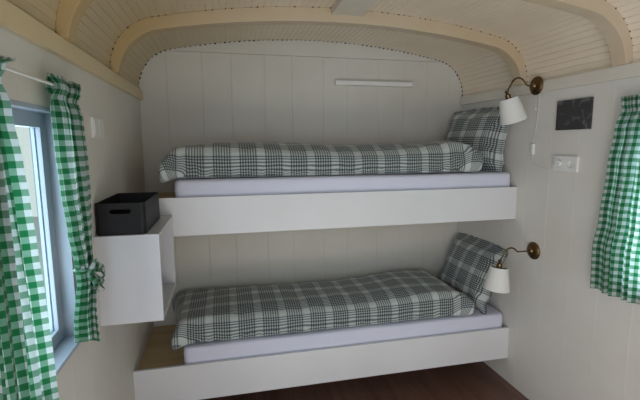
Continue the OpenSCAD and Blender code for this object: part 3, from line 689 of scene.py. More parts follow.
class Shape:
    """A piece while it is being modelled."""

    SHARP_DEG = 34.0  # faces that meet at less than this are shaded as one
    OUTER_DEG = 35.0  # edges that stick out by more than this are rounded over
    FLAT_DEG = 0.3  # a CAD node's triangles that meet at less than this are one face

    def __init__(self, node: str | None = None) -> None:
        """Starts empty, or from a merged copy of a CAD node's mesh.

        Args:
            node: Name of the CAD node to copy.
        """
        self.bm = bmesh.new()
        if node:
            self.bm.from_mesh(frame["nodes"][node].data)
            bmesh.ops.remove_doubles(self.bm, verts=self.bm.verts, dist=TOUCH)
            bmesh.ops.dissolve_limit(self.bm, angle_limit=math.radians(self.FLAT_DEG),
                                     verts=self.bm.verts, edges=self.bm.edges,
                                     use_dissolve_boundaries=False)

    def box(self, low: Vector, high: Vector) -> list[BMVert]:
        """Adds a block.

        Args:
            low: Its lowest corner.
            high: Its highest corner.

        Returns:
            Its vertices.
        """
        place = Matrix.Translation((low + high) / 2) @ Matrix.Diagonal((*(high - low), 1))
        return bmesh.ops.create_cube(self.bm, size=1, matrix=place)["verts"]

    def ease(self, edges: Iterable[BMEdge], width: float, segments: int = 2) -> None:
        """Rounds edges over.

        Args:
            edges: The edges.
            width: How far the rounding reaches from each.
            segments: Number of facets in it.
        """
        chosen = list(edges)
        if chosen:
            bmesh.ops.bevel(self.bm, geom=chosen, offset=width, offset_type="OFFSET",
                            segments=segments, profile=0.5, affect="EDGES", clamp_overlap=True,
                            material=-1)

    def outer_edges(self) -> list[BMEdge]:
        """Finds the edges that stick out.

        Returns:
            The edges between two faces that meet in a clear outer corner.
        """
        least = math.radians(self.OUTER_DEG)
        return [e for e in self.bm.edges if len(e.link_faces) == 2
                and e.calc_face_angle_signed(0.0) > least]

    def board(self, low: Vector, high: Vector, along: Axis, ease: float,
              eased: tuple[bool, bool] = (True, True), across: Axis = Axis.X) -> None:
        """Adds a board whose long edges are eased at one or both of its sides.

        Args:
            low: Its lowest corner.
            high: Its highest corner.
            along: The direction that it runs in.
            ease: Width of the eased edges.
            eased: Whether the side at the low and at the high end of across is eased.
            across: The direction of its width.
        """
        middle = (low + high)[across.value] / 2
        chosen = []
        for e in {e for v in self.box(low, high) for e in v.link_edges}:
            start, end = (v.co for v in e.verts)
            runs = abs((end - start)[along.value]) > 0.99 * (end - start).length
            if runs and eased[int(start[across.value] > middle)]:
                chosen.append(e)
        self.ease(chosen, ease, 1)

    def lathe(self, profile: Sequence[tuple[float, float]], place: Matrix, steps: int) -> None:
        """Makes the shape by turning a profile about the Z axis.

        Args:
            profile: Points of radius and height from one end to the other.
            place: Where the axis then stands.
            steps: Number of facets round it.
        """
        verts = [self.bm.verts.new((r, 0.0, h)) for r, h in profile]
        edges = [self.bm.edges.new(pair) for pair in zip(verts, verts[1:])]
        bmesh.ops.spin(self.bm, geom=verts + edges, cent=(0, 0, 0), axis=(0, 0, 1),
                       angle=math.tau, steps=steps, use_merge=True)
        bmesh.ops.remove_doubles(self.bm, verts=self.bm.verts, dist=TOUCH / 10)
        bmesh.ops.transform(self.bm, matrix=place, verts=self.bm.verts)
        bmesh.ops.recalc_face_normals(self.bm, faces=self.bm.faces)

    def finish(self, name: str, finish: Finish, body: Body = Body.HUT,
               replaces: Sequence[str] = (), level: bool = True) -> Object:
        """Turns the shape into a finished piece.

        Args:
            name: The piece's name.
            finish: What its surface is.
            body: The body that it rides on.
            replaces: The CAD nodes that it stands for.
            level: Whether wide faces are shaded level between their rounded edges.

        Returns:
            The piece's object.
        """
        limit = math.radians(self.SHARP_DEG)
        for e in self.bm.edges:
            e.smooth = len(e.link_faces) == 2 and e.calc_face_angle(0.0) < limit
        for f in self.bm.faces:
            f.smooth = True
        mesh = bpy.data.meshes.new(name)
        self.bm.to_mesh(mesh)
        self.bm.free()
        made = bpy.data.objects.new(name, mesh)
        bpy.context.scene.collection.objects.link(made)
        if level:
            normals = made.modifiers.new("level_faces", "WEIGHTED_NORMAL")
            normals.keep_sharp = True
        return settle(made, finish, body, replaces)


def coat(piece: Object, finish: Finish) -> None:
    """Gives a piece its material.

    Args:
        piece: The object.
        finish: What its surface is.
    """
    piece.data.materials.clear()
    piece.data.materials.append(finish.material())
    LOG.info("%s: %s", piece.name, finish.name)


def settle(piece: Object, finish: Finish, body: Body = Body.HUT,
           replaces: Sequence[str] = ()) -> Object:
    """Gives a piece its finish and its body, and hides the CAD nodes that it stands for.

    Args:
        piece: The object, in place.
        finish: What its surface is.
        body: The body that it rides on.
        replaces: The CAD nodes that it stands for.

    Returns:
        The same object.
    """
    coat(piece, finish)
    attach(piece, body.value)
    if replaces:
        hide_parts(*replaces)
    return piece


def soften(node: str, name: str, finish: Finish, ease_mm: float, body: Body = Body.HUT,
           segments: int = 2) -> Object:
    """Makes a piece from a CAD node's own shape with its outer edges rounded over.

    Args:
        node: The CAD node to copy and stand for.
        name: The piece's name.
        finish: What its surface is.
        ease_mm: Width of the rounding.
        body: The body that it rides on.
        segments: Number of facets in the rounding.

    Returns:
        The piece's object.
    """
    shape = Shape(node)
    shape.ease(shape.outer_edges(), ease_mm * MM, segments)
    return shape.finish(name, finish, body, [node])


def glide(keys: Keys, t: float) -> float:
    """Reads a smooth track through keyed values, level at each key.

    Args:
        keys: Pairs of place and value, in rising order of place.
        t: The place to read.

    Returns:
        The value there.
    """
    if t <= keys[0][0]:
        return keys[0][1]
    for (t0, v0), (t1, v1) in zip(keys, keys[1:]):
        if t <= t1:
            s = (t - t0) / (t1 - t0)
            return v0 + (v1 - v0) * s * s * (3 - 2 * s)
    return keys[-1][1]


@dataclass
class Studio:
    """Camera, lamps, world and the pale floor that the hut stands on.

    Attributes:
        eye: Where the camera stands in the frame.
        yaw: Its turn to the right of +Y, in degrees.
        pitch: Its turn downwards, in degrees.
        roll: Its turn about its own line of sight, in radians.
        lens_mm: Its focal length on a 36 mm sensor.
    """

    eye: tuple[float, float, float] = (-0.626, -1.939, 1.662)
    yaw: float = 12.908
    pitch: float = 7.662
    roll: float = -0.0056
    lens_mm: float = 23.38

    FLOOR_HALF = 9.0
    DAYLIGHT = "#dcecff"
    OFF_GLASS = 0.010  # a window's sheet of daylight hangs this far outside its glass
    LAMPS = (  # name, place, aim, size, watts and tint
        ("mouth_lamp", (-1.3, -3.4, 1.4), (0.5, 0.6, 1.1), (2.4, 1.8), 36, "#e6edff"),
        ("bounce_lamp", (0.0, -1.95, 0.2), (0.9, 0.1, 2.3), (1.2, 0.9), 16, "#fff1e0"),
        ("sky_lamp", (0.0, 0.6, 5.5), (0.0, 0.2, 0.0), (5.0, 5.0), 130, "#ffffff"),
        ("rear_lamp", (0.5, 4.5, 2.6), (0.0, 0.8, 1.0), (3.5, 3.0), 80, "#ffffff"),
    )

    def camera(self) -> None:
        """Puts the camera where the photograph was taken."""
        data = bpy.data.cameras.new("camera")
        data.sensor_width = 36.0
        data.lens = self.lens_mm
        data.clip_start = 0.02
        camera = bpy.data.objects.new("camera", data)
        turn = (Matrix.Rotation(math.radians(-self.yaw), 4, "Z")
                @ Matrix.Rotation(math.radians(90 - self.pitch), 4, "X")
                @ Matrix.Rotation(self.roll, 4, "Z"))
        camera.matrix_world = Matrix.Translation(self.eye) @ turn
        bpy.context.scene.collection.objects.link(camera)
        bpy.context.scene.camera = camera

    def lamp(self, name: str, place: Vector, aim: Vector, size: tuple[float, float],
             watts: float, colour: str) -> None:
        """Adds one soft rectangular lamp.

        Args:
            name: The lamp's name.
            place: Where its middle is.
            aim: The point that it faces.
            size: Its width and height.
            watts: Its power.
            colour: The tint of its light.
        """
        data = bpy.data.lights.new(name, "AREA")
        data.shape = "RECTANGLE"
        data.size, data.size_y = size
        data.energy = watts
        data.color = linear(colour)[:3]
        lamp = bpy.data.objects.new(name, data)
        lamp.location = place
        lamp.rotation_mode = "QUATERNION"
        lamp.rotation_quaternion = (aim - place).to_track_quat("-Z", "Y")
        bpy.context.scene.collection.objects.link(lamp)

    def lamps(self) -> None:
        """Lights the room through its open end and windows, and the outside from above."""
        for name, place, aim, size, watts, colour in self.LAMPS:
            self.lamp(name, Vector(place), Vector(aim), size, watts, colour)
        low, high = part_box("window_panes")
        size = (high.y - low.y, high.z - low.z)
        for side, watts in ((Side.LEFT, 4.6), (Side.RIGHT, 11.5)):
            place = (low + high) / 2
            place.x = side.value * (high.x + self.OFF_GLASS)
            self.lamp(side.name.lower() + "_window_light", place,
                      place - side.value * Axis.X.unit(), size, watts, self.DAYLIGHT)

    def world(self) -> None:
        """Sets an even soft fill, and white behind everything."""
        world = bpy.data.worlds.new("studio")
        bpy.context.scene.world = world
        world.use_nodes = True
        tree = world.node_tree
        tree.nodes.clear()
        rays = add(tree, "LightPath")
        seen = add(tree, "Math", {0: rays.outputs["Is Camera Ray"],
                                  1: rays.outputs["Is Glossy Ray"]}, operation="MAXIMUM")
        seen = add(tree, "Math", {0: seen.outputs[0], 1: rays.outputs["Is Transmission Ray"]},
                   operation="MAXIMUM")
        fill = add(tree, "Background", {"Color": linear("#f4f6fa"), "Strength": 0.5})
        white = add(tree, "Background", {"Color": (1, 1, 1, 1), "Strength": 1.0})
        mixed = add(tree, "MixShader", {0: seen.outputs[0], 1: fill.outputs[0],
                                        2: white.outputs[0]})
        add(tree, "OutputWorld", {"Surface": mixed.outputs[0]})

    def floor(self) -> None:
        """Lays a pale floor at the height of the lowest pieces."""
        bm = bmesh.new()
        bmesh.ops.create_grid(bm, x_segments=4, y_segments=4, size=self.FLOOR_HALF)
        mesh = bpy.data.meshes.new("studio_floor")
        bm.to_mesh(mesh)
        bm.free()
        floor = bpy.data.objects.new("studio_floor", mesh)
        floor.location.z = CAD_BOX[0].z - 0.5 * MM
        bpy.context.scene.collection.objects.link(floor)
        made = bpy.data.materials.new("studio_floor_card")
        made.use_nodes = True
        shader = made.node_tree.nodes["Principled BSDF"]
        shader.inputs["Base Color"].default_value = linear("#e9e9e7")
        shader.inputs["Roughness"].default_value = 0.9
        floor.data.materials.append(made)

    def build(self) -> None:
        """Sets up the whole studio."""
        bpy.context.scene.view_settings.view_transform = "Standard"
        self.camera()
        self.lamps()
        self.world()
        self.floor()


@dataclass
class Flex:
    """The upper lamp's flex, its switch and plug, and the pull string under its plate.

    The routes count X from the wall's boards, and Y and Z from the middle of the wall plate,
    in millimetres.

    Attributes:
        origin: The middle of the wall plate, on the wall's boards.
        diameter_mm: Thickness of the flex.
        string_mm: Thickness of the string.
    """

    origin: Vector
    diameter_mm: float = 4.0
    string_mm: float = 2.0

    UPPER = (
        (-10, -12, -38), (-10, -12, -46), (-10, -12, -54), (-9, -11, -68), (-7, -10, -86),
        (-6, -9, -105), (-5, -8, -125), (-5, -6, -145), (-5, -4, -165), (-4, -2, -185),
        (-4, 0, -205), (-4, 3, -225), (-4, 6, -245), (-5, 9, -265), (-6, 12, -283),
        (-8, 14, -298), (-8.5, 15, -308), (-8.5, 15, -316), (-8.5, 15, -324),
    )
    LOWER = (
        (-8.5, 15, -386), (-8.5, 15, -394), (-8.5, 15, -402), (-8, 12, -413), (-7, 6, -424),
        (-6, -3, -435), (-5, -14, -445), (-5, -28, -453), (-5, -45, -459), (-6, -63, -462),
        (-8, -81, -464), (-11, -99, -464), (-15, -116, -462), (-19, -130, -459),
        (-22, -141, -455), (-24, -151, -450), (-24, -159, -446), (-24, -167, -442),
    )

    KNOB_HIGH = 14.0
    KNOB = ((0, 0), (1.6, 0.2), (2.2, 1.6), (2.6, 5), (3.4, 10), (3.4, 12.4), (2.2, 13.6),
            (0, KNOB_HIGH))  # radius and height, from its foot up

    def route(self, points: Sequence[Sequence[float]]) -> list[Vector]:
        """Adds a point between each two of a route, on a smooth curve through them all.

        Args:
            points: The route as it was chosen.

        Returns:
            The finer route in the frame.
        """
        p = [self.origin + Vector(q) * MM for q in points]
        last = len(p) - 1
        fine = []
        for i in range(last):
            near = (p[i] + p[i + 1]) * 9 - p[max(i - 1, 0)] - p[min(i + 2, last)]
            fine += [p[i], near / 16]
        return fine + [p[last]]

    def curve(self, name: str, line: Sequence[Vector], diameter: float) -> Object:
        """Makes a round curve along a line.

        Args:
            name: The piece's name.
            line: Its points in the frame.
            diameter: Its thickness in metres.

        Returns:
            The curve's object.
        """
        data = bpy.data.curves.new(name, "CURVE")
        data.dimensions = "3D"
        data.bevel_depth = diameter / 2
        data.bevel_resolution = 4
        data.use_fill_caps = True
        spline = data.splines.new("POLY")
        spline.points.add(len(line) - 1)
        for point, place in zip(spline.points, line):
            point.co = (*place, 1.0)
        spline.use_smooth = True
        made = bpy.data.objects.new(name, data)
        bpy.context.scene.collection.objects.link(made)
        return made

    def build(self) -> None:
        """Makes the two lengths of flex, their switch and plug, and the string with its knob."""
        switch = soften("cord_switch", "flex_switch", WHITE_PLASTIC, 2.5, segments=3)
        plug = soften("cord_plug", "flex_plug", WHITE_PLASTIC, 1.5)
        for name, points, nodes, end, far_end in (
                ("upper_flex", self.UPPER, ["lamp_lead"], switch, "fitting"),
                ("lower_flex", self.LOWER, [], plug, "plug")):
            line = self.route(points)
            piece = self.curve(name, line, self.diameter_mm * MM)
            settle(piece, FLEX_PVC, replaces=nodes)
        self.pull_string()

    def pull_string(self) -> None:
        """Makes the string and the turned knob that its CAD node stands for."""
        low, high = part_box("pull_string")
        foot = Vector(((low.x + high.x) / 2, (low.y + high.y) / 2, low.z))
        top = low.z + self.KNOB_HIGH * MM
        line = [Vector((foot.x, foot.y, high.z + (top - high.z) * i / 6)) for i in range(7)]
        knob = Shape()
        knob.lathe([(r * MM, h * MM) for r, h in self.KNOB], Matrix.Translation(foot), 20)
        end = knob.finish("pull_knob", WHITE_PLASTIC)
        string = self.curve("pull_string_line", line, self.string_mm * MM)
        settle(string, FLEX_PVC, replaces=["pull_string"])


@dataclass
class BoardedWalls:
    """Upright tongue-and-groove boards inside and out, and the frieze board over the bunks.

    Attributes:
        joints: Places of the joints on the end wall, from the left-hand wall.
        side_pitch: Width of a board on the side walls and outside.
        ease: Width of the end wall's eased board edges, so that two make a fine joint.
        side_ease: The same for the side walls, whose joints are all but closed.
        joint: Depth and half width of the V-shaped joints outside.
    """

    joints: tuple[float, ...] = (0.167, 0.387, 0.571, 0.789, 0.974, 1.193, 1.369, 1.597, 1.790,
                                 1.975, 2.150)
    side_pitch: float = 0.182
    ease: float = 0.0025
    side_ease: float = 0.0008
    joint: float = 0.004

    HOLE_INSET = 0.012  # the sill's lip runs on this far past each side of its hole
    UNDER_ROOF = 0.004  # the boards' tops stop this far below the roof's back

    def end_wall(self) -> None:
        """Lays the end wall's boards from floor to frieze, with their own uneven widths."""
        low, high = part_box("end_wall_lining")
        edges = [low.x, *(j - ROOM.half for j in self.joints), high.x]
        shape = Shape()
        for a, b in zip(edges, edges[1:]):
            shape.board(Vector((a, low.y, low.z)), Vector((b, high.y, high.z)), Axis.Z,
                        self.ease)
        arch = Ceiling()
        radius = arch.crown_radius()
        for v in shape.bm.verts:
            back = ROOM.crown - radius + math.sqrt((radius + arch.thick) ** 2 - v.co.x ** 2)
            v.co.z = min(v.co.z, back - self.UNDER_ROOF)
        shape.finish("end_wall_boards", WALL_PAINT, replaces=["end_wall_lining"])
        soften("end_wall_frieze", "end_wall_frieze_board", WALL_PAINT, 1.0)

    def side_wall(self, shape: Shape, side: Side, node: str) -> None:
        """Lays one long wall's boards round its window.

        Args:
            shape: The shape to add them to.
            side: Which wall.
            node: The CAD node that gives the wall's faces.
        """
        low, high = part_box(node)
        x0, x1 = high.x - self.thickness(node), high.x
        if side is Side.LEFT:
            x0, x1 = -x1, -x0
        foot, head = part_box("window_frames")
        hole = (foot.y + self.HOLE_INSET, head.y - self.HOLE_INSET)
        count = round((high.y - low.y) / self.side_pitch)
        step = (high.y - low.y) / count
        for i in range(count):
            a, b = low.y + i * step, low.y + (i + 1) * step
            inner = (max(a, hole[0]), min(b, hole[1]))
            # What is left of the board: before the hole, past it, under it and over it.
            for y0, y1, z0, z1 in ((a, min(b, hole[0]), low.z, high.z),
                                   (max(a, hole[1]), b, low.z, high.z),
                                   (*inner, low.z, foot.z), (*inner, head.z, high.z)):
                if y1 - y0 > TOUCH:
                    eased = (abs(y0 - a) < TOUCH, abs(y1 - b) < TOUCH)
                    shape.board(Vector((x0, y0, z0)), Vector((x1, y1, z1)), Axis.Z,
                                self.side_ease, eased, Axis.Y)

    def thickness(self, node: str) -> float:
        """Finds the thickness of a side wall's layer from its vertices' places."""
        places = {v.co.x for v in frame["nodes"][node].data.vertices if v.co.x > 0}
        return max(places) - min(places)

    def side_walls(self) -> None:
        """Lays the boards of both long walls, inside."""
        shape = Shape()
        for side in Side:
            self.side_wall(shape, side, "side_wall_linings")
        shape.finish("side_wall_boards", SIDE_PAINT, replaces=["side_wall_linings"])

    def cladding(self, node: str, name: str, across: Axis, through: Axis) -> None:
        """Cuts the upright joints between boards into the outer face of a wall's cladding.

        Args:
            node: The CAD node that gives its shape.
            name: The piece's name.
            across: The direction of the boards' width.
            through: The direction through the wall.
        """
        low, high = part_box(node)
        shape = Shape()
        shape.bm.from_mesh(frame["nodes"][node].data)
        start, reach = low[across.value], (high - low)[across.value]
        count = round(reach / self.side_pitch)
        face = high[through.value] - 2 * TOUCH
        for i in range(1, count):
            at = start + reach * i / count
            for place in (at - self.joint, at, at + self.joint):
                geom = shape.bm.verts[:] + shape.bm.edges[:] + shape.bm.faces[:]
                bmesh.ops.bisect_plane(shape.bm, geom=geom, dist=TOUCH / 10,
                                       plane_co=across.unit() * place, plane_no=across.unit())
            for v in shape.bm.verts:
                depth = v.co[through.value]
                if abs(v.co[across.value] - at) < TOUCH and abs(depth) > face:
                    v.co[through.value] -= math.copysign(self.joint, depth)
        shape.finish(name, OUTER_PAINT, replaces=[node], level=False)

    def build(self) -> None:
        """Lays all the boards and dresses the framing behind them."""
        self.end_wall()
        self.side_walls()
        for node in ("end_wall_core", "side_wall_cores", "eaves_fillings"):
            coat(frame["nodes"][node], FRAMING)
        self.cladding("end_wall_cladding", "end_wall_outer_boards", Axis.X, Axis.Y)
        self.cladding("side_wall_claddings", "side_wall_outer_boards", Axis.Y, Axis.X)


@dataclass(frozen=True)
class Arc:
    """A stretch of the ceiling's curve across the hut.

    Attributes:
        centre: Its centre in X and Z.
        radius: Its radius to the boards' faces.
        start: Where it starts, as an angle from upright.
        end: Where it ends.
        gap: How far its boards stop short of the end wall.
    """

    centre: Vector
    radius: float
    start: float
    end: float
    gap: float

    def boards(self, pitch: float) -> int:
        """Counts the boards of about a width that it takes."""
        return max(1, round(abs(self.end - self.start) * self.radius / pitch))


@dataclass
class Ceiling:
    """Narrow beaded boards that run the length of the arched ceiling, its bows and cornices.

    Attributes:
        pitch: Width of a board.
        shoulder_r: Radius of the rounded shoulders.
        shoulder_rise: Height of the shoulders' centres above the springing.
        cross: How far the shoulder circles reach past the crown arc.
        groove: Width of a board's eased edge; two make the groove between boards.
        thick: Thickness of a board.
        gap: Dark gap between the shoulders' boards and the end wall; half at the crown.
        bows: Places of the bows along the hut.
        bow_w: Width of a bow.
    """

    pitch: float = 0.0315
    shoulder_r: float = 0.250
    shoulder_rise: float = 0.015
    cross: float = 0.0003
    groove: float = 0.0020
    thick: float = 0.011
    gap: float = 0.006
    bows: tuple[float, ...] = (0.281, -0.374)
    bow_w: float = 0.070

    HOLLOW = (0.0028, 0.0060)  # least and greatest radius of a groove's end
    HOLLOW_SEED = 31
    BEHIND_FACE = 0.0004  # the hollows' middles lie this far behind the boards' faces

    def crown_radius(self) -> float:
        """Works out the crown arc that meets both shoulders.

        Returns:
            Its radius.
        """
        zc = ROOM.spring + self.shoulder_rise
        rise, rc = ROOM.crown - zc, self.shoulder_r
        top = rise ** 2 + (ROOM.half - rc + self.cross) ** 2 - (rc - self.cross) ** 2
        return top / (2 * (rise - rc + self.cross))

    def arcs(self) -> list[Arc]:
        """Works out the arcs that the ceiling follows.

        Returns:
            The crown's, the left shoulder's and the right shoulder's.
        """
        big = self.crown_radius()
        x, z = ROOM.half - self.shoulder_r, ROOM.spring + self.shoulder_rise
        lean = math.atan2(x, z - ROOM.crown + big)
        arcs = [Arc(Vector((0, 0, ROOM.crown - big)), big, -lean, lean, self.gap / 2)]
        for side in Side:
            s = side.value
            arcs.append(Arc(Vector((s * x, 0, z)), self.shoulder_r, s * lean, s * math.pi / 2,
                            self.gap))
        return arcs

    def boards(self) -> None:
        """Copies one board round each arc and closes the sides below the shoulders."""
        shape = Shape()
        for arc in self.arcs():
            self.fan(shape, arc)
        low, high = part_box("ceiling_boards")
        for side in Side:
            x0, x1 = sorted((side.value * ROOM.half, side.value * (ROOM.half + self.thick)))
            shape.box(Vector((x0, low.y, ROOM.spring)),
                      Vector((x1, high.y - self.gap, ROOM.spring + self.shoulder_rise)))
        shape.finish("ceiling_beaded_boards", CEILING_PAINT, replaces=["ceiling_boards"])

    def fan(self, shape: Shape, arc: Arc) -> None:
        """Lays boards along an arc, by spinning copies of the first.

        Args:
            shape: The shape to add them to.
            arc: The arc.
        """
        low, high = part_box("ceiling_boards")
        count = arc.boards(self.pitch)
        step = (arc.end - arc.start) / count
        half = arc.radius * math.tan(abs(step) / 2)
        before = set(shape.bm.verts)
        shape.board(Vector((-half, low.y, arc.radius)),
                    Vector((half, high.y - arc.gap, arc.radius + self.thick)), Axis.Y,
                    self.groove)
        fresh = [v for v in shape.bm.verts if v not in before]
        turn = Matrix.Rotation(arc.start + step / 2, 4, "Y")
        bmesh.ops.transform(shape.bm, matrix=Matrix.Translation(arc.centre) @ turn, verts=fresh)
        geom = fresh + list({e for v in fresh for e in v.link_edges})
        geom += list({f for v in fresh for f in v.link_faces})
        bmesh.ops.spin(shape.bm, geom=geom, cent=arc.centre, axis=(0, 1, 0),
                       angle=step * (count - 1), steps=count - 1, use_duplicate=True)

    def groove_ends(self) -> None:
        """Puts a dark dot of painted shadow where each groove runs into a bow or the end wall."""
        draw = random.Random(self.HOLLOW_SEED)
        shape = Shape()
        near, next_one = (y - self.bow_w / 2 for y in self.bows)
        # Where the grooves end, the share of them that shows, and the hollows' size there.
        faces = ((near, 0.7, 1.0), (next_one, 0.7, 0.7), (ROOM.end, 1.0, 1.5))
        for arc in self.arcs():
            count = arc.boards(self.pitch)
            for i in range(count + 1):
                a = arc.start + (arc.end - arc.start) * i / count
                out = Vector((math.sin(a), 0, math.cos(a)))
                at = arc.centre + out * (arc.radius + self.BEHIND_FACE)
                for y, sure, grow in faces:
                    if draw.random() < sure:
                        at.y = y
                        bmesh.ops.create_icosphere(shape.bm, subdivisions=1,
                                                   radius=grow * draw.uniform(*self.HOLLOW),
                                                   matrix=Matrix.Translation(at))
        shape.finish("ceiling_groove_shadow_dots", GROOVE_SHADOW, level=False)

    def build(self) -> None:
        """Makes the boards, bows, cornices and the flat strip."""
        self.boards()
        self.groove_ends()
        soften("roof_bows", "laminated_bows", BOW_PAINT, 3.0)
        soften("wall_cornices", "cornice_boards", CORNICE_PAINT, 2.0)
        soften("ceiling_strip", "flat_ceiling_board", STRIP_PAINT, 1.5)


@dataclass
class Outside:
    """The roof covering, floor and bearers.

    Attributes:
        floor_pitch: Width of a floor board.
        ease: Width of its eased edges.
    """

    floor_pitch: float = 0.118
    ease: float = 0.0012

    def floor(self) -> None:
        """Lays floor boards along the hut."""
        low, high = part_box("floor_boards")
        count = round((high.x - low.x) / self.floor_pitch)
        step = (high.x - low.x) / count
        shape = Shape()
        for i in range(count):
            a = low.x + i * step
            shape.board(Vector((a, low.y, low.z)), Vector((a + step, high.y, high.z)), Axis.Y,
                        self.ease)
        shape.finish("floor_boarding", FLOOR_STAIN, replaces=["floor_boards"])

    def build(self) -> None:
        """Dresses what closes the hut off from the weather and the ground."""
        self.floor()
        soften("floor_bearers", "floor_bearer_beams", BEARER_PINE, 2.0)
        soften("roof_covering", "roof_sheeting", ROOF_SHEET, 1.0)


@dataclass
class Bunks:
    """Front boards, bases and cleats of the two bunks."""

    def build(self) -> None:
        """Rounds the boards' edges over and paints them."""
        soften("bunk_fronts", "bunk_front_boards", BUNK_PAINT, 2.5)
        soften("bunk_bases", "bunk_base_boards", BUNK_PINE, 1.5)
        soften("bunk_cleats", "bunk_cleat_battens", BUNK_PAINT, 1.5)


def bake(piece: Object) -> None:
    """Applies every modifier on a piece and keeps its material.

    Args:
        piece: The piece.
    """
    shown = piece.evaluated_get(bpy.context.evaluated_depsgraph_get())
    mesh = bpy.data.meshes.new_from_object(shown)
    old = piece.data
    piece.modifiers.clear()
    piece.data = mesh
    mesh.materials.clear()
    for material in old.materials:
        mesh.materials.append(material)
    bpy.data.meshes.remove(old)


def remesh(piece: Object, cell: float) -> None:
    """Rebuilds a closed piece as one smooth mesh of even cells.

    Args:
        piece: The piece.
        cell: Size of a cell.
    """
    voxels = piece.modifiers.new("fine", "REMESH")
    voxels.mode = "VOXEL"
    voxels.voxel_size = cell
    voxels.use_smooth_shade = True
    bake(piece)


def subdivide(piece: Object) -> None:
    """Adds one level of subdivision to a piece and keeps it.

    Args:
        piece: The piece.
    """
    fine = piece.modifiers.new("fine", "SUBSURF")
    fine.levels = fine.render_levels = 1
    bake(piece)


@dataclass(frozen=True)
class Swelling:
    """How a closed fabric shape swells, by cloth simulation.

    Attributes:
        pressure: Air pressure inside it.
        frames: Number of frames to run.
        cap: How far a point may move, in metres.
        slack: Share by which the fabric is larger than its shape, which wrinkles it.
    """

    pressure: float
    frames: int
    cap: float
    slack: float

    STIFF = 15.0
    BENDING = 0.35
    QUALITY = 6

    def swell(self, piece: Object, pinned: Sequence[int] = ()) -> None:
        """Runs the simulation and keeps its result.

        Args:
            piece: The piece, with its rest shape as its mesh.
            pinned: Vertices that stay where they are.
        """
        scene = bpy.context.scene
        start = np.array([v.co for v in piece.data.vertices])
        cloth = piece.modifiers.new("cloth", "CLOTH")
        fabric = cloth.settings
        fabric.use_pressure = True
        fabric.uniform_pressure_force = self.pressure
        fabric.effector_weights.gravity = 0.0
        fabric.tension_stiffness = fabric.compression_stiffness = self.STIFF
        fabric.shear_stiffness = self.STIFF / 3
        fabric.bending_stiffness = self.BENDING
        fabric.shrink_min = -self.slack
        fabric.quality = self.QUALITY
        cloth.collision_settings.use_collision = False
        if pinned:
            piece.vertex_groups.new(name="held").add(list(pinned), 1.0, "REPLACE")
            fabric.vertex_group_mass = "held"
        for f in range(1, self.frames + 1):
            scene.frame_set(f)
        shown = piece.evaluated_get(bpy.context.evaluated_depsgraph_get())
        move = np.array([v.co for v in shown.data.vertices]) - start
        piece.modifiers.remove(cloth)
        far = np.linalg.norm(move, axis=1, keepdims=True)
        move *= np.minimum(1.0, self.cap / np.maximum(far, 1e-9))
        piece.data.vertices.foreach_set("co", (start + move).ravel())
        piece.data.update()
        scene.frame_set(1)


def weave_on(piece: Object, places: np.ndarray) -> None:
    """Stores where each vertex lies on its flat cloth.

    Args:
        piece: The piece.
        places: For each vertex, metres across the cloth and along it, and zero.
    """
    layer = piece.data.attributes.new("cloth", "FLOAT_VECTOR", "POINT")
    layer.data.foreach_set("vector", places.astype(np.float32).ravel())


def share_of(value: float) -> float:
    """Keeps a share between nothing and all."""
    return max(0.0, min(1.0, value))


@dataclass
class Mattress:
    """A foam mattress in a fitted sheet, rounded at its corners and edges, with long creases.

    Attributes:
        name: The piece's name.
        level: 1 for the upper bunk, 0 for the lower one.
        base_thick: Thickness of the lower bunk's base.
        corner: Radius of its corners in plan.
        rim: Radius of its edges.
        cell: Size of its mesh's cells.
    """

    name: str
    level: int
    base_thick: float = 0.018
    corner: float = 0.036
    rim: float = 0.020
    cell: float = 0.014

    RIM_ANGLE = 1.0  # faces meet at more than this, in radians, along the rims

    def build(self) -> None:
        """Builds the sheeted mattress on its base."""
        low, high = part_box("mattresses")
        lowest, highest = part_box("bunk_bases")
        base = highest.z if self.level else lowest.z + self.base_thick
        shape = Shape()
        verts = shape.box(Vector((low.x, low.y, base)),
                          Vector((high.x, high.y, base + high.z - highest.z)))
        shape.ease([e for e in {e for v in verts for e in v.link_edges} if self.rise(e) > TOUCH],
                   self.corner, 4)
        shape.ease([e for e in shape.bm.edges if len(e.link_faces) == 2 and self.rise(e) < TOUCH
                    and e.calc_face_angle(0) > self.RIM_ANGLE], self.rim, 3)
        piece = shape.finish(self.name, SHEET_COTTON, replaces=["mattresses"], level=False)
        remesh(piece, self.cell)
        self.wrinkle(piece)

    def rise(self, edge: BMEdge) -> float:
        """Gives the difference in height between an edge's ends."""
        return abs(edge.verts[0].co.z - edge.verts[1].co.z)

    def wrinkle(self, piece: Object) -> None:
        """Moves the sheet in and out a little in long creases.

        Args:
            piece: The mattress.
        """
        for v in piece.data.vertices:
            p = Vector((v.co.x * 3.0, v.co.y * 9.0, v.co.z * 16.0 + self.level * 5))
            v.co += v.normal * (0.0035 * noise.noise(p) - 0.001)
        piece.data.update()


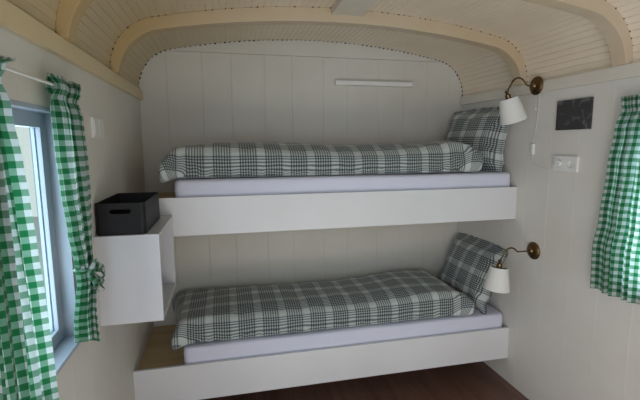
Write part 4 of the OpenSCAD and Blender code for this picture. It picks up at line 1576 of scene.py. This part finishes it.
@dataclass
class Duvet:
    """A plaid duvet that lies along a bunk, with its left end over the mattress's end.

    Attributes:
        node: The CAD node that it stands for.
        tops: Height of its top above the mattress, along X from its left end.
        crest: How much higher it is along its back half.
        corners: Radius in plan of its front left, front right and back corners.
        droop: How far the overhanging end sinks.
        slant: How much less of it hangs over at the front than at the back.
        seed: Sets its creases.
        cell: Size of its mesh's cells before they are divided.
    """

    node: str
    tops: Keys
    crest: float = 0.03
    corners: tuple[float, float, float] = (0.07, 0.12, 0.06)
    droop: float = 0.05
    slant: float = 0.0
    seed: int = 1
    cell: float = 0.018

    TURN = 0.08  # the cloth starts to turn down this far from the edge
    FRONT = 0.08  # the front's creases fade out over this far
    OVERHANG = 0.085  # the left end sinks over this far
    INSET = (0.006, 0.010)  # it starts smaller than its solid by this, aside and on top
    CLEAR = 0.002  # and this far above the mattress
    HELD = 0.012  # what lies lower than this stays where it is while it swells
    SWELLING = Swelling(pressure=3.0, frames=16, cap=0.02, slack=0.05)

    def build(self) -> None:
        """Swells a soft block, shapes its top and lays the plaid on it."""
        low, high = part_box(self.node)
        aside, above = self.INSET
        shape = Shape()
        shape.box(low + Vector((aside, aside, self.CLEAR)), high - Vector((aside, aside, above)))
        shape.ease(shape.bm.edges, 0.036, 4)
        piece = shape.finish("plaid_" + self.node, PLAID, replaces=[self.node], level=False)
        remesh(piece, self.cell)
        self.SWELLING.swell(piece, [v.index for v in piece.data.vertices
                                    if v.co.z < low.z + self.HELD])
        self.model(piece, low, high)
        subdivide(piece)
        self.lay_plaid(piece, low, high)

    def model(self, piece: Object, low: Vector, high: Vector) -> None:
        """Gives the top its hills and lets the left end sink.

        Args:
            piece: The duvet.
            low: The CAD solid's lowest corner.
            high: Its highest corner.
        """
        size = high - low
        for v in piece.data.vertices:
            share = (v.co.x - low.x) / size.x
            deep = (v.co.y - low.y) / size.y
            # Broad hills, and creases across them that lie five times as close.
            ridge = noise.noise(Vector((v.co.x * 3.1, v.co.y * 6.0, self.seed * 3.7)))
            crease = noise.noise(Vector((v.co.x * 16.0, v.co.y * 5.0, self.seed * 1.3)))
            hump = self.crest * math.sin(math.pi * share_of(deep) ** 0.8)
            ends = min(1.0, 6 * share, 4 * (1.02 - share))
            rise = glide(self.tops, share) - size.z + hump * ends + 0.012 * ridge + 0.006 * crease
            v.co.z += share_of((v.co.z - low.z) / size.z) * rise
            front = max(0.0, 1 - (v.co.y - low.y) / self.FRONT)
            v.co.y += front * 0.006 * noise.noise(Vector((v.co.x * 7.0, v.co.z * 9.0, self.seed)))
            v.co.z -= self.droop * share_of(1 - (v.co.x - low.x) / self.OVERHANG) ** 2
            self.round_corner(v, low, high)
            v.co.x += self.slant * max(0.0, 1 - deep) * max(0.0, 1 - 2 * share) ** 2
        piece.data.update()

    def round_corner(self, v: MeshVertex, low: Vector, high: Vector) -> None:
        """Draws a vertex in where it lies in one of the corners.

        Args:
            v: The vertex.
            low: The CAD solid's lowest corner.
            high: Its highest corner.
        """
        middle, half = (low + high) / 2, (high - low) / 2
        at_front, at_left = v.co.y < middle.y, v.co.x < middle.x
        radius = self.corners[0 if at_left else 1] if at_front else self.corners[2]
        past_x = abs(v.co.x - middle.x) - (half.x - radius)
        past_y = abs(v.co.y - middle.y) - (half.y - radius)
        if past_x > 0 and past_y > 0:
            pull = max(past_x, past_y) / math.hypot(past_x, past_y)
            v.co.x += math.copysign((pull - 1) * past_x, v.co.x - middle.x)
            v.co.y += math.copysign((pull - 1) * past_y, v.co.y - middle.y)

    def lay_plaid(self, piece: Object, low: Vector, high: Vector) -> None:
        """Stores places on the flat cloth, which hangs over the edges the way it falls.

        Args:
            piece: The duvet.
            low: The CAD solid's lowest corner.
            high: Its highest corner.
        """
        co = np.array([v.co for v in piece.data.vertices])
        middle = np.array((low + high) / 2)[:2]
        inner = np.array((high - low) / 2)[:2] - self.TURN
        plan = co[:, :2] - middle
        out = plan - np.clip(plan, -inner, inner)
        far = np.linalg.norm(out, axis=1, keepdims=True)
        drop = np.maximum(0.0, high.z - co[:, 2:3])
        hang = drop * np.clip(far / self.TURN, 0, 1)
        places = plan + out / np.maximum(far, 1e-6) * hang
        weave_on(piece, np.hstack([places, np.zeros((len(co), 1))]))


@dataclass
class Pillow:
    """A filled plaid pillow with a flat flange, which leans on the right-hand wall.

    Attributes:
        node: The CAD node that it stands for.
        lean: Its slope, in degrees.
        turn: Its turn about the upright, in degrees.
        wide: Size up its slope.
        long: Size along the wall.
        flange: Width of the flat edge.
        slump: How far its near bottom corner sags towards the wall.
        seed: Sets its creases.
    """

    node: str
    lean: float
    turn: float
    wide: float = 0.45
    long: float = 0.545
    flange: float = 0.022
    slump: float = 0.09
    seed: int = 3

    CELLS = 40
    THICK = 0.008  # the flat bag's thickness before it is filled
    FILLED = 0.035  # how far each of its faces then stands out in the middle
    BOWED = 0.035  # share by which its sides bow out between the corners
    RIM = 0.44  # its side faces lie further out than this share of its size
    FOOT = 0.20  # its lowest stretch, which crumples
    NEAR = 0.30  # its stretch nearer the open end, which sags to the wall
    SWELLING = Swelling(pressure=4.0, frames=20, cap=0.03, slack=0.04)

    def build(self) -> None:
        """Sews, fills, flanges and leans the pillow."""
        shape = Shape()
        bmesh.ops.create_grid(shape.bm, x_segments=self.CELLS, y_segments=self.CELLS, size=0.5)
        bmesh.ops.scale(shape.bm, vec=(self.wide, self.long, 1), verts=shape.bm.verts)
        for v in shape.bm.verts:
            ex, ey = self.inwards(v)
            v.co.x *= 1 + self.BOWED * ey
            v.co.y *= 1 + self.BOWED * ex
        bmesh.ops.solidify(shape.bm, geom=shape.bm.faces[:], thickness=self.THICK)
        bmesh.ops.recalc_face_normals(shape.bm, faces=shape.bm.faces)
        for v in shape.bm.verts:
            ex, ey = (max(0.0, e) for e in self.inwards(v))
            v.co.z += math.copysign(1, v.co.z + self.THICK / 2) * self.FILLED * (ex * ey) ** 0.5
        piece = shape.finish("plaid_" + self.node, PLAID, replaces=[self.node], level=False)
        self.SWELLING.swell(piece)
        self.add_flange(piece)
        weave_on(piece, np.array([(v.co.x, v.co.y, 0) for v in piece.data.vertices]))
        subdivide(piece)
        self.place(piece)

    def inwards(self, v: BMVert) -> tuple[float, float]:
        """Tells how far a point lies from the edges each way: 0 at an edge, 1 in the middle."""
        return 1 - (2 * v.co.x / self.wide) ** 2, 1 - (2 * v.co.y / self.long) ** 2

    def at_rim(self, face: BMFace) -> bool:
        """Tells whether a face is one of the bag's narrow sides.

        Args:
            face: The face.

        Returns:
            Whether it is.
        """
        at = face.calc_center_median()
        outside = abs(at.x) > self.wide * self.RIM or abs(at.y) > self.long * self.RIM
        level = abs(at.z + self.THICK / 2) < 1.5 * self.THICK
        return outside and level and abs(face.normal.z) < 0.5

    def add_flange(self, piece: Object) -> None:
        """Draws the side faces out into a thin rippled edge.

        Args:
            piece: The pillow, lying flat.
        """
        bm = bmesh.new()
        bm.from_mesh(piece.data)
        rim = [f for f in bm.faces if self.at_rim(f)]
        for _ in range(2):
            out = bmesh.ops.extrude_face_region(bm, geom=rim)["geom"]
            bmesh.ops.delete(bm, geom=rim, context="FACES")
            rim = [g for g in out if isinstance(g, BMFace)]
            for v in (g for g in out if isinstance(g, BMVert)):
                away = Vector((v.co.x / self.wide, v.co.y / self.long, 0))
                least = 0.8 * max(abs(away.x), abs(away.y))
                along = Vector([c if abs(c) > least else 0.0 for c in away]).normalized()
                ripple = noise.noise(Vector((v.co.x * 30, v.co.y * 30, self.seed)))
                v.co += along * self.flange / 2
                v.co.z += 0.008 * ripple
        bmesh.ops.recalc_face_normals(bm, faces=bm.faces)
        for f in bm.faces:
            f.smooth = True
        bm.to_mesh(piece.data)
        bm.free()

    def place(self, piece: Object) -> None:
        """Leans the pillow where its CAD solid lies, and lets its foot crumple.

        Args:
            piece: The pillow, lying flat.
        """
        low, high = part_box(self.node)
        turn = (Matrix.Translation((low + high) / 2)
                @ Matrix.Rotation(math.radians(self.turn), 4, "Z")
                @ Matrix.Rotation(math.radians(-self.lean), 4, "Y"))
        piece.data.transform(turn)
        for v in piece.data.vertices:
            down = share_of(1 - (v.co.z - low.z) / self.FOOT)
            front = share_of(1 - (v.co.y - low.y) / self.NEAR)
            # Crumples some 70 mm across, and flatter folds between them.
            crumple = noise.noise(v.co * 14 + Vector((0, 0, self.seed)))
            fold = noise.noise(Vector((v.co.x * 9, v.co.y * 9, v.co.z * 34 + self.seed)))
            v.co.x += self.slump * front * (0.3 + 0.7 * down)
            v.co.x += 0.018 * down * (crumple + 0.6 * fold)
            v.co.y += 0.008 * down * fold
            v.co.x = min(v.co.x, ROOM.half - 0.002)
            v.co.z = max(v.co.z, low.z - 0.001)
        piece.data.update()


@dataclass
class Curtain:
    """A gathered gingham curtain threaded on its rod by a pocket, with a ruffle above.

    Attributes:
        node: The CAD node that it stands for.
        side: The wall that it hangs on.
        far: Its edge nearer the end wall, as room Y by height above the floor.
        near: Its edge nearer the open end.
        flat_w: Width of the flat cloth.
        pleats: Number of folds across it.
        seed: Sets the folds' uneven widths.
        hem_lift: How far the hem rises towards its edge nearer the open end.
        ribbons: Paths and widths of the strips that tie it, as distance from the rod into
            the room, room Y and height.
        hem: Height of its lower edge.
        rod: Height of the rod.
        top: Height of the ruffle's edge.
        pocket: How far the rod's pocket reaches below the rod.
        rod_off: Distance of the rod from the wall.
        columns: Number of cells across it.
        row_step: Height of a row of cells.
    """

    node: str
    side: Side
    far: Keys
    near: Keys
    flat_w: float
    pleats: int
    seed: int
    hem_lift: float = 0.0
    ribbons: tuple[tuple[tuple[tuple[float, float, float], ...], float], ...] = ()
    hem: float = 0.852
    rod: float = 1.722
    top: float = 1.750
    pocket: float = 0.024
    rod_off: float = 0.040
    columns: int = 150
    row_step: float = 0.011

    POCKET_FOLD = 0.0075  # the folds' depth each way where the cloth is threaded on the rod
    DEEPEST_FOLD = 0.021  # and below it, at most
    OPENING = 0.05  # they open out over this height
    SAMPLES = 700  # points along a row while its length is worked out
    RUFFLE = 0.0021  # rows this close to the top wave up and down
    LIFT_FROM = 1.12  # below this height the hem's lift is felt
    STRIP_CELLS = 6  # cells across a ribbon
    STRIP_STEPS = 8  # cells between two of its points

    def wall(self) -> float:
        """Gives the X of the rod."""
        return self.side.value * (ROOM.half - self.rod_off)

    def rows(self) -> list[tuple[float, float]]:
        """Lists the rows of the cloth from the pocket's hem, over the top, down to the hem.

        Returns:
            For each row its height, and its middle's distance from the rod towards the wall.
        """
        back = [(self.rod - self.pocket, 0.006), (self.rod - 0.012, 0.012), (self.rod, 0.013),
                (self.rod + 0.009, 0.010), (self.rod + 0.019, 0.004), (self.top - 0.002, 0.0015)]
        rows = [*back, (self.top, 0.0), *((z, -x) for z, x in reversed(back))]
        z = self.rod - self.pocket
        while z > self.hem + self.row_step:
            z -= self.row_step
            rows.append((z, 0.0))
        return [*rows, (self.hem, 0.0)]

    def folds(self, u: np.ndarray, z: float, waves: Sequence[tuple[float, float]]) -> np.ndarray:
        """Works out the folds' shape across one row, with a depth of about one.

        Args:
            u: Places across the row, from 0 to 1.
            z: The row's height in the room.
            waves: Sizes and phases of the waves that make the folds uneven.

        Returns:
            How far the cloth stands towards the wall at each place.
        """
        # The folds differ in width, lean as they fall and are unevenly deep.
        wobble = sum(a * np.sin(math.tau * (k + 1) * u + b) for k, (a, b) in enumerate(waves))
        drift = 0.10 * math.sin(z * 5.0 + self.seed) * np.sin(math.pi * u)
        phase = math.tau * (self.pleats * u + 0.35 * wobble + drift)
        fold = np.sin(phase) + 0.22 * np.sin(2 * phase + 1.0 + self.seed)
        return fold * (1.0 + 0.30 * np.sin(math.tau * 2.3 * u + self.seed + 1.5 * z))

    def line(self, z: float, offset: float, waves: Sequence[tuple[float, float]]) -> np.ndarray:
        """Works out one row of the folded cloth, with its whole flat width in it.

        Args:
            z: The row's height in the room.
            offset: Distance of its middle from the rod, towards the wall.
            waves: Sizes and phases of the waves that make the folds uneven.

        Returns:
            Points of distance from the rod towards the wall, and room Y.
        """
        u = np.linspace(0, 1, self.SAMPLES)
        near, far = glide(self.near, z), glide(self.far, z)
        y = near + (far - near) * u
        fold = self.folds(u, z, waves)
        below = self.rod - self.pocket - z
        threaded = below < TOUCH / 10
        depth, most = 0.0, self.POCKET_FOLD if threaded else self.DEEPEST_FOLD
        for _ in range(16):
            middle = (depth + most) / 2
            long = np.hypot(np.diff(middle * fold), np.diff(y)).sum()
            depth, most = (middle, most) if long < self.flat_w else (depth, middle)
        if not threaded:
            depth = self.POCKET_FOLD + (depth - self.POCKET_FOLD) * share_of(below / self.OPENING)
        x = offset + depth * fold
        along = np.concatenate([[0], np.cumsum(np.hypot(np.diff(x), np.diff(y)))])
        at = np.linspace(0, along[-1], self.columns + 1)
        return np.stack([np.interp(at, along, x), np.interp(at, along, y)], axis=1)

    def ribbon(self, shape: Shape, path: Sequence[Sequence[float]],
               width: float) -> dict[BMVert, tuple[float, float, float]]:
        """Adds a crumpled strip of the same cloth along a path.

        Args:
            shape: The shape to add it to.
            path: Points that it passes through.
            width: Its width.

        Returns:
            For each new vertex, its place on the flat cloth.
        """
        points = [Vector(q) for q in path]
        line = []
        for i in range(len(points) - 1):
            a, b = points[max(i - 1, 0)], points[i]
            c, d = points[i + 1], points[min(i + 2, len(points) - 1)]
            for k in range(self.STRIP_STEPS):
                t = k / self.STRIP_STEPS
                line.append(0.5 * (2 * b + (c - a) * t + (2 * a - 5 * b + 4 * c - d) * t * t
                                   + (3 * b - a - 3 * c + d) * t ** 3))
        line.append(points[-1])
        places, rows, along = {}, [], 0.0
        for i, at in enumerate(line):
            ahead = (line[min(i + 1, len(line) - 1)] - line[max(i - 1, 0)]).normalized()
            across = ahead.cross(Vector((1.0, 0.0, 0.15))).normalized()
            along += (at - line[i - 1]).length if i else 0.0
            rows.append([])
            for k in range(self.STRIP_CELLS + 1):
                t = k / self.STRIP_CELLS - 0.5
                fold = math.sin(7.0 * t + 0.09 * i * (1 + self.seed % 3))
                crumple = noise.noise(at * 60 + Vector((t * 5, 0, self.seed)))
                q = at + across * width * t + Vector((0.004 * (fold + crumple), 0, 0))
                v = shape.bm.verts.new(ROOM.at(self.wall() - self.side.value * q.x, q.y, q.z))
                places[v] = (t * width, along, 0.0)
                rows[-1].append(v)
        for low, high in zip(rows, rows[1:]):
            for k in range(self.STRIP_CELLS):
                shape.bm.faces.new((low[k], low[k + 1], high[k + 1], high[k]))
        return places

    def lift(self, i: int, z: float, y: float) -> float:
        """Works out how far the ruffle's waves or the sloping hem raise a point.

        Args:
            i: The point's column.
            z: Its row's height in the room.
            y: Its room Y.

        Returns:
            The rise.
        """
        rise = 0.0
        if z <= self.hem:
            rise = 0.006 * noise.noise(Vector((y * 12, self.seed, 0)))
        if z >= self.top - self.RUFFLE:
            rise = 0.007 * noise.noise(Vector((i * 0.35, self.seed, 0)))
        below = share_of((self.LIFT_FROM - z) / (self.LIFT_FROM - self.hem))
        return rise + self.hem_lift * below * (1 - i / self.columns) ** 0.7

    def build(self) -> None:
        draw = random.Random(self.seed)
        waves = [(draw.uniform(0.2, 0.6), draw.uniform(0, math.tau)) for _ in range(4)]
        rows = self.rows()
        shape = Shape()
        bmesh.ops.create_grid(shape.bm, x_segments=self.columns, y_segments=len(rows) - 1,
                              size=0.5)
        grid = iter(sorted(shape.bm.verts, key=lambda v: (round(v.co.y, 5), v.co.x)))
        cloth, down, before = {}, 0.0, rows[0]
        for z, offset in rows:
            down += math.hypot(z - before[0], offset - before[1])
            before = (z, offset)
            for i, (x, y) in enumerate(self.line(z, offset, waves)):
                v = next(grid)
                cloth[v] = (i / self.columns * self.flat_w, down, 0.0)
                v.co = ROOM.at(self.wall() + self.side.value * x, y, z + self.lift(i, z, y))
        for path, width in self.ribbons:
            cloth.update(self.ribbon(shape, path, width))
        bmesh.ops.recalc_face_normals(shape.bm, faces=shape.bm.faces)
        places = np.array([cloth[v] for v in shape.bm.verts])
        piece = shape.finish(self.node + "_cloth", GINGHAM, replaces=[self.node], level=False)
        weave_on(piece, places)


@dataclass
class Windows:
    """Reveals, sashes, sills and glass of both windows, and the rods over them."""

    def build(self) -> None:
        """Rounds the joinery over and glazes it."""
        soften("window_frames", "window_joinery", WINDOW_SHADED_PAINT, 1.5)
        coat(frame["nodes"]["window_panes"], GLASS)
        soften("curtain_rods", "curtain_rod_pair", ROD_METAL, 0.4)


def joint_place(name: str) -> Vector:
    """Finds a joint's place in the frame.

    Args:
        name: The joint's name.

    Returns:
        The place of its pin.
    """
    return Vector(next(j["pos_m"] for j in frame["joints"] if j["name"] == name))


@dataclass
class WallLamp:
    """A swan-neck wall lamp: turned plate and arm on the wall, swivelling head and shade.

    Attributes:
        body: The body that its head and shade ride on; its nodes' names start with the same.
        tilt: The shade's tilt towards the wall, in degrees.
        top_r: Radius of the shade's top rim.
        low_r: Radius of its lower rim.
        drop: How far its top rim is below the pin.
        height: Its height.
        wall: Thickness of its card and linen.
    """

    body: Body
    tilt: float
    top_r: float = 0.050
    low_r: float = 0.073
    drop: float = 0.035
    height: float = 0.134
    wall: float = 0.0016

    HEM = 0.006  # height of the folded hem at each rim
    ROLL = 0.0007  # how far it stands out
    LIP = 0.001  # height of its rounded edges

    def shade(self) -> None:
        """Turns the fabric shade, with a rolled hem at both rims."""
        prefix, lower = self.body.value, self.height - self.HEM
        down = [
            (self.top_r - self.wall / 2, 0.0),
            (self.top_r + self.ROLL, self.LIP),
            (self.radius(self.HEM) + self.ROLL, self.HEM),
            (self.radius(self.HEM + self.LIP), self.HEM + self.LIP),
            *((self.radius(d), d) for d in np.linspace(0.02, self.height - 0.02, 6)),
            (self.radius(lower - self.LIP), lower - self.LIP),
            (self.radius(lower) + self.ROLL, lower),
            (self.low_r + self.ROLL, self.height - self.LIP),
            (self.low_r - self.wall / 2, self.height),
        ]
        outer = [(r, -self.drop - d) for r, d in down]
        inner = [(r - self.wall, h) for r, h in reversed(outer[1:-1])]
        place = (Matrix.Translation(joint_place(prefix + "_tilt"))
                 @ Matrix.Rotation(math.radians(-self.tilt), 4, "Y"))
        shape = Shape()
        shape.lathe([*outer, *inner, outer[0]], place, 72)
        piece = shape.finish(prefix + "_linen_shade", SHADE_LINEN, self.body,
                             [prefix + "_shade"])
        back = place.inverted()
        flat = [back @ v.co for v in piece.data.vertices]
        weave_on(piece, np.array([(math.atan2(p.y, p.x) * self.low_r, p.z, 0.0) for p in flat]))

    def radius(self, d: float) -> float:
        """Gives the shade's outer radius at a distance below its top rim."""
        return self.top_r + (self.low_r - self.top_r) * d / self.height

    def build(self) -> None:
        """Dresses the arm and head and makes the shade."""
        prefix = self.body.value
        soften(prefix + "_arm", prefix + "_brass_arm", BRASS, 0.8)
        soften(prefix + "_head", prefix + "_lampholder", BRASS, 0.8, self.body)
        self.shade()


@dataclass
class Fittings:
    """Shelf box, basket, strip light, switch, socket and picture."""

    def build(self) -> None:
        """Makes the small things on the walls."""
        soften("shelf_box", "wall_shelf_box", SHELF_SHADED_PAINT, 1.5)
        soften("basket", "storage_basket", BLACK_PLASTIC, 1.2)
        soften("strip_light", "strip_light_body", WHITE_PLASTIC, 1.5)
        soften("light_switch", "rocker_switch", WHITE_PLASTIC, 1.2)
        soften("double_socket", "twin_socket", WHITE_PLASTIC, 1.5)
        soften("wall_picture", "dark_picture", PRINT, 0.8)


# The strip that ties the left far curtain: a band round it, two loops and two tails.
TIE = (
    (tuple((0.024 * math.cos(a), -1.402 + 0.042 * math.sin(a), 1.146 - 0.010 * math.sin(a))
           for a in np.linspace(-0.4, math.tau + 0.4, 15)), 0.018),
    (((0.026, -1.430, 1.140), (0.038, -1.405, 1.150), (0.046, -1.372, 1.135),
      (0.046, -1.352, 1.108), (0.040, -1.362, 1.088), (0.032, -1.392, 1.104),
      (0.026, -1.430, 1.132)), 0.034),
    (((0.028, -1.432, 1.136), (0.038, -1.425, 1.158), (0.042, -1.405, 1.166),
      (0.040, -1.388, 1.152), (0.032, -1.402, 1.134), (0.028, -1.432, 1.130)), 0.026),
    (((0.030, -1.425, 1.132), (0.043, -1.395, 1.102), (0.046, -1.368, 1.078),
      (0.042, -1.350, 1.062)), 0.036),
    (((0.030, -1.430, 1.130), (0.041, -1.418, 1.098), (0.040, -1.402, 1.078),
      (0.037, -1.398, 1.068)), 0.028),
)


def curtains() -> list[Curtain]:
    """Lists the four curtains with the outlines that they hang in.

    Returns:
        The curtains, not built yet.
    """
    return [
        Curtain("left_far_curtain", Side.LEFT,
                far=((0.848, -1.325), (0.92, -1.338), (0.998, -1.348), (1.073, -1.332),
                     (1.13, -1.350), (1.19, -1.346), (1.30, -1.315), (1.40, -1.302),
                     (1.49, -1.300), (1.626, -1.322), (1.70, -1.345), (1.722, -1.345),
                     (1.75, -1.295)),
                near=((0.85, -1.505), (0.942, -1.495), (1.03, -1.465), (1.10, -1.437),
                      (1.178, -1.445), (1.288, -1.485), (1.413, -1.515), (1.53, -1.530),
                      (1.722, -1.538), (1.75, -1.550)),
                flat_w=0.50, pleats=6, seed=2, hem_lift=0.085, ribbons=TIE),
        Curtain("left_near_curtain", Side.LEFT,
                far=((0.85, -1.722), (0.97, -1.730), (1.17, -1.745), (1.30, -1.762),
                     (1.42, -1.776), (1.50, -1.790), (1.63, -1.820), (1.70, -1.835),
                     (1.722, -1.830), (1.75, -1.745)),
                near=((0.85, -1.975), (1.75, -1.975)),
                flat_w=0.46, pleats=4, seed=5),
        Curtain("right_far_curtain", Side.RIGHT,
                far=((0.85, -1.262), (1.05, -1.256), (1.20, -1.280), (1.44, -1.302),
                     (1.60, -1.325), (1.722, -1.356), (1.75, -1.340)),
                near=((0.85, -1.628), (1.75, -1.618)),
                flat_w=0.62, pleats=7, seed=9),
        Curtain("right_near_curtain", Side.RIGHT,
                far=((0.85, -1.645), (1.39, -1.652), (1.75, -1.640)),
                near=((0.85, -1.975), (1.75, -1.975)),
                flat_w=0.60, pleats=7, seed=12),
    ]


PLATE_ABOVE_PIN = 0.038  # from the upper lamp's pin up to the middle of its wall plate


def main() -> None:
    """Builds every sub-assembly in order."""
    logging.basicConfig(level=logging.INFO, format="%(name)s: %(message)s")
    Studio().build()
    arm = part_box("upper_lamp_arm")
    plate = Vector((ROOM.half, (arm[0].y + arm[1].y) / 2,
                    joint_place("upper_lamp_tilt").z + PLATE_ABOVE_PIN))
    Flex(plate).build()
    BoardedWalls().build()
    Ceiling().build()
    Outside().build()
    Bunks().build()
    Windows().build()
    for curtain in curtains():
        curtain.build()
    Mattress("upper_mattress_sheet", 1).build()
    Mattress("lower_mattress_sheet", 0).build()
    Duvet("upper_duvet", ((0.0, 0.135), (0.06, 0.150), (0.25, 0.150), (0.55, 0.132),
                          (0.8, 0.145), (0.93, 0.176), (1.0, 0.140)), seed=1).build()
    Duvet("lower_duvet", ((0.0, 0.122), (0.3, 0.136), (0.6, 0.132), (0.85, 0.152),
                          (0.95, 0.150), (1.0, 0.120)), crest=0.015,
          corners=(0.10, 0.12, 0.06), slant=0.085, seed=4).build()
    Pillow("upper_pillow", 70.0, 8.0, seed=3).build()
    Pillow("lower_pillow", 67.0, 0.0, wide=0.485, long=0.575, slump=0.03, seed=8).build()
    WallLamp(Body.UPPER_LAMP, 20.0).build()
    WallLamp(Body.LOWER_LAMP, -5.0).build()
    Fittings().build()


if __name__ == "__main__":
    main()
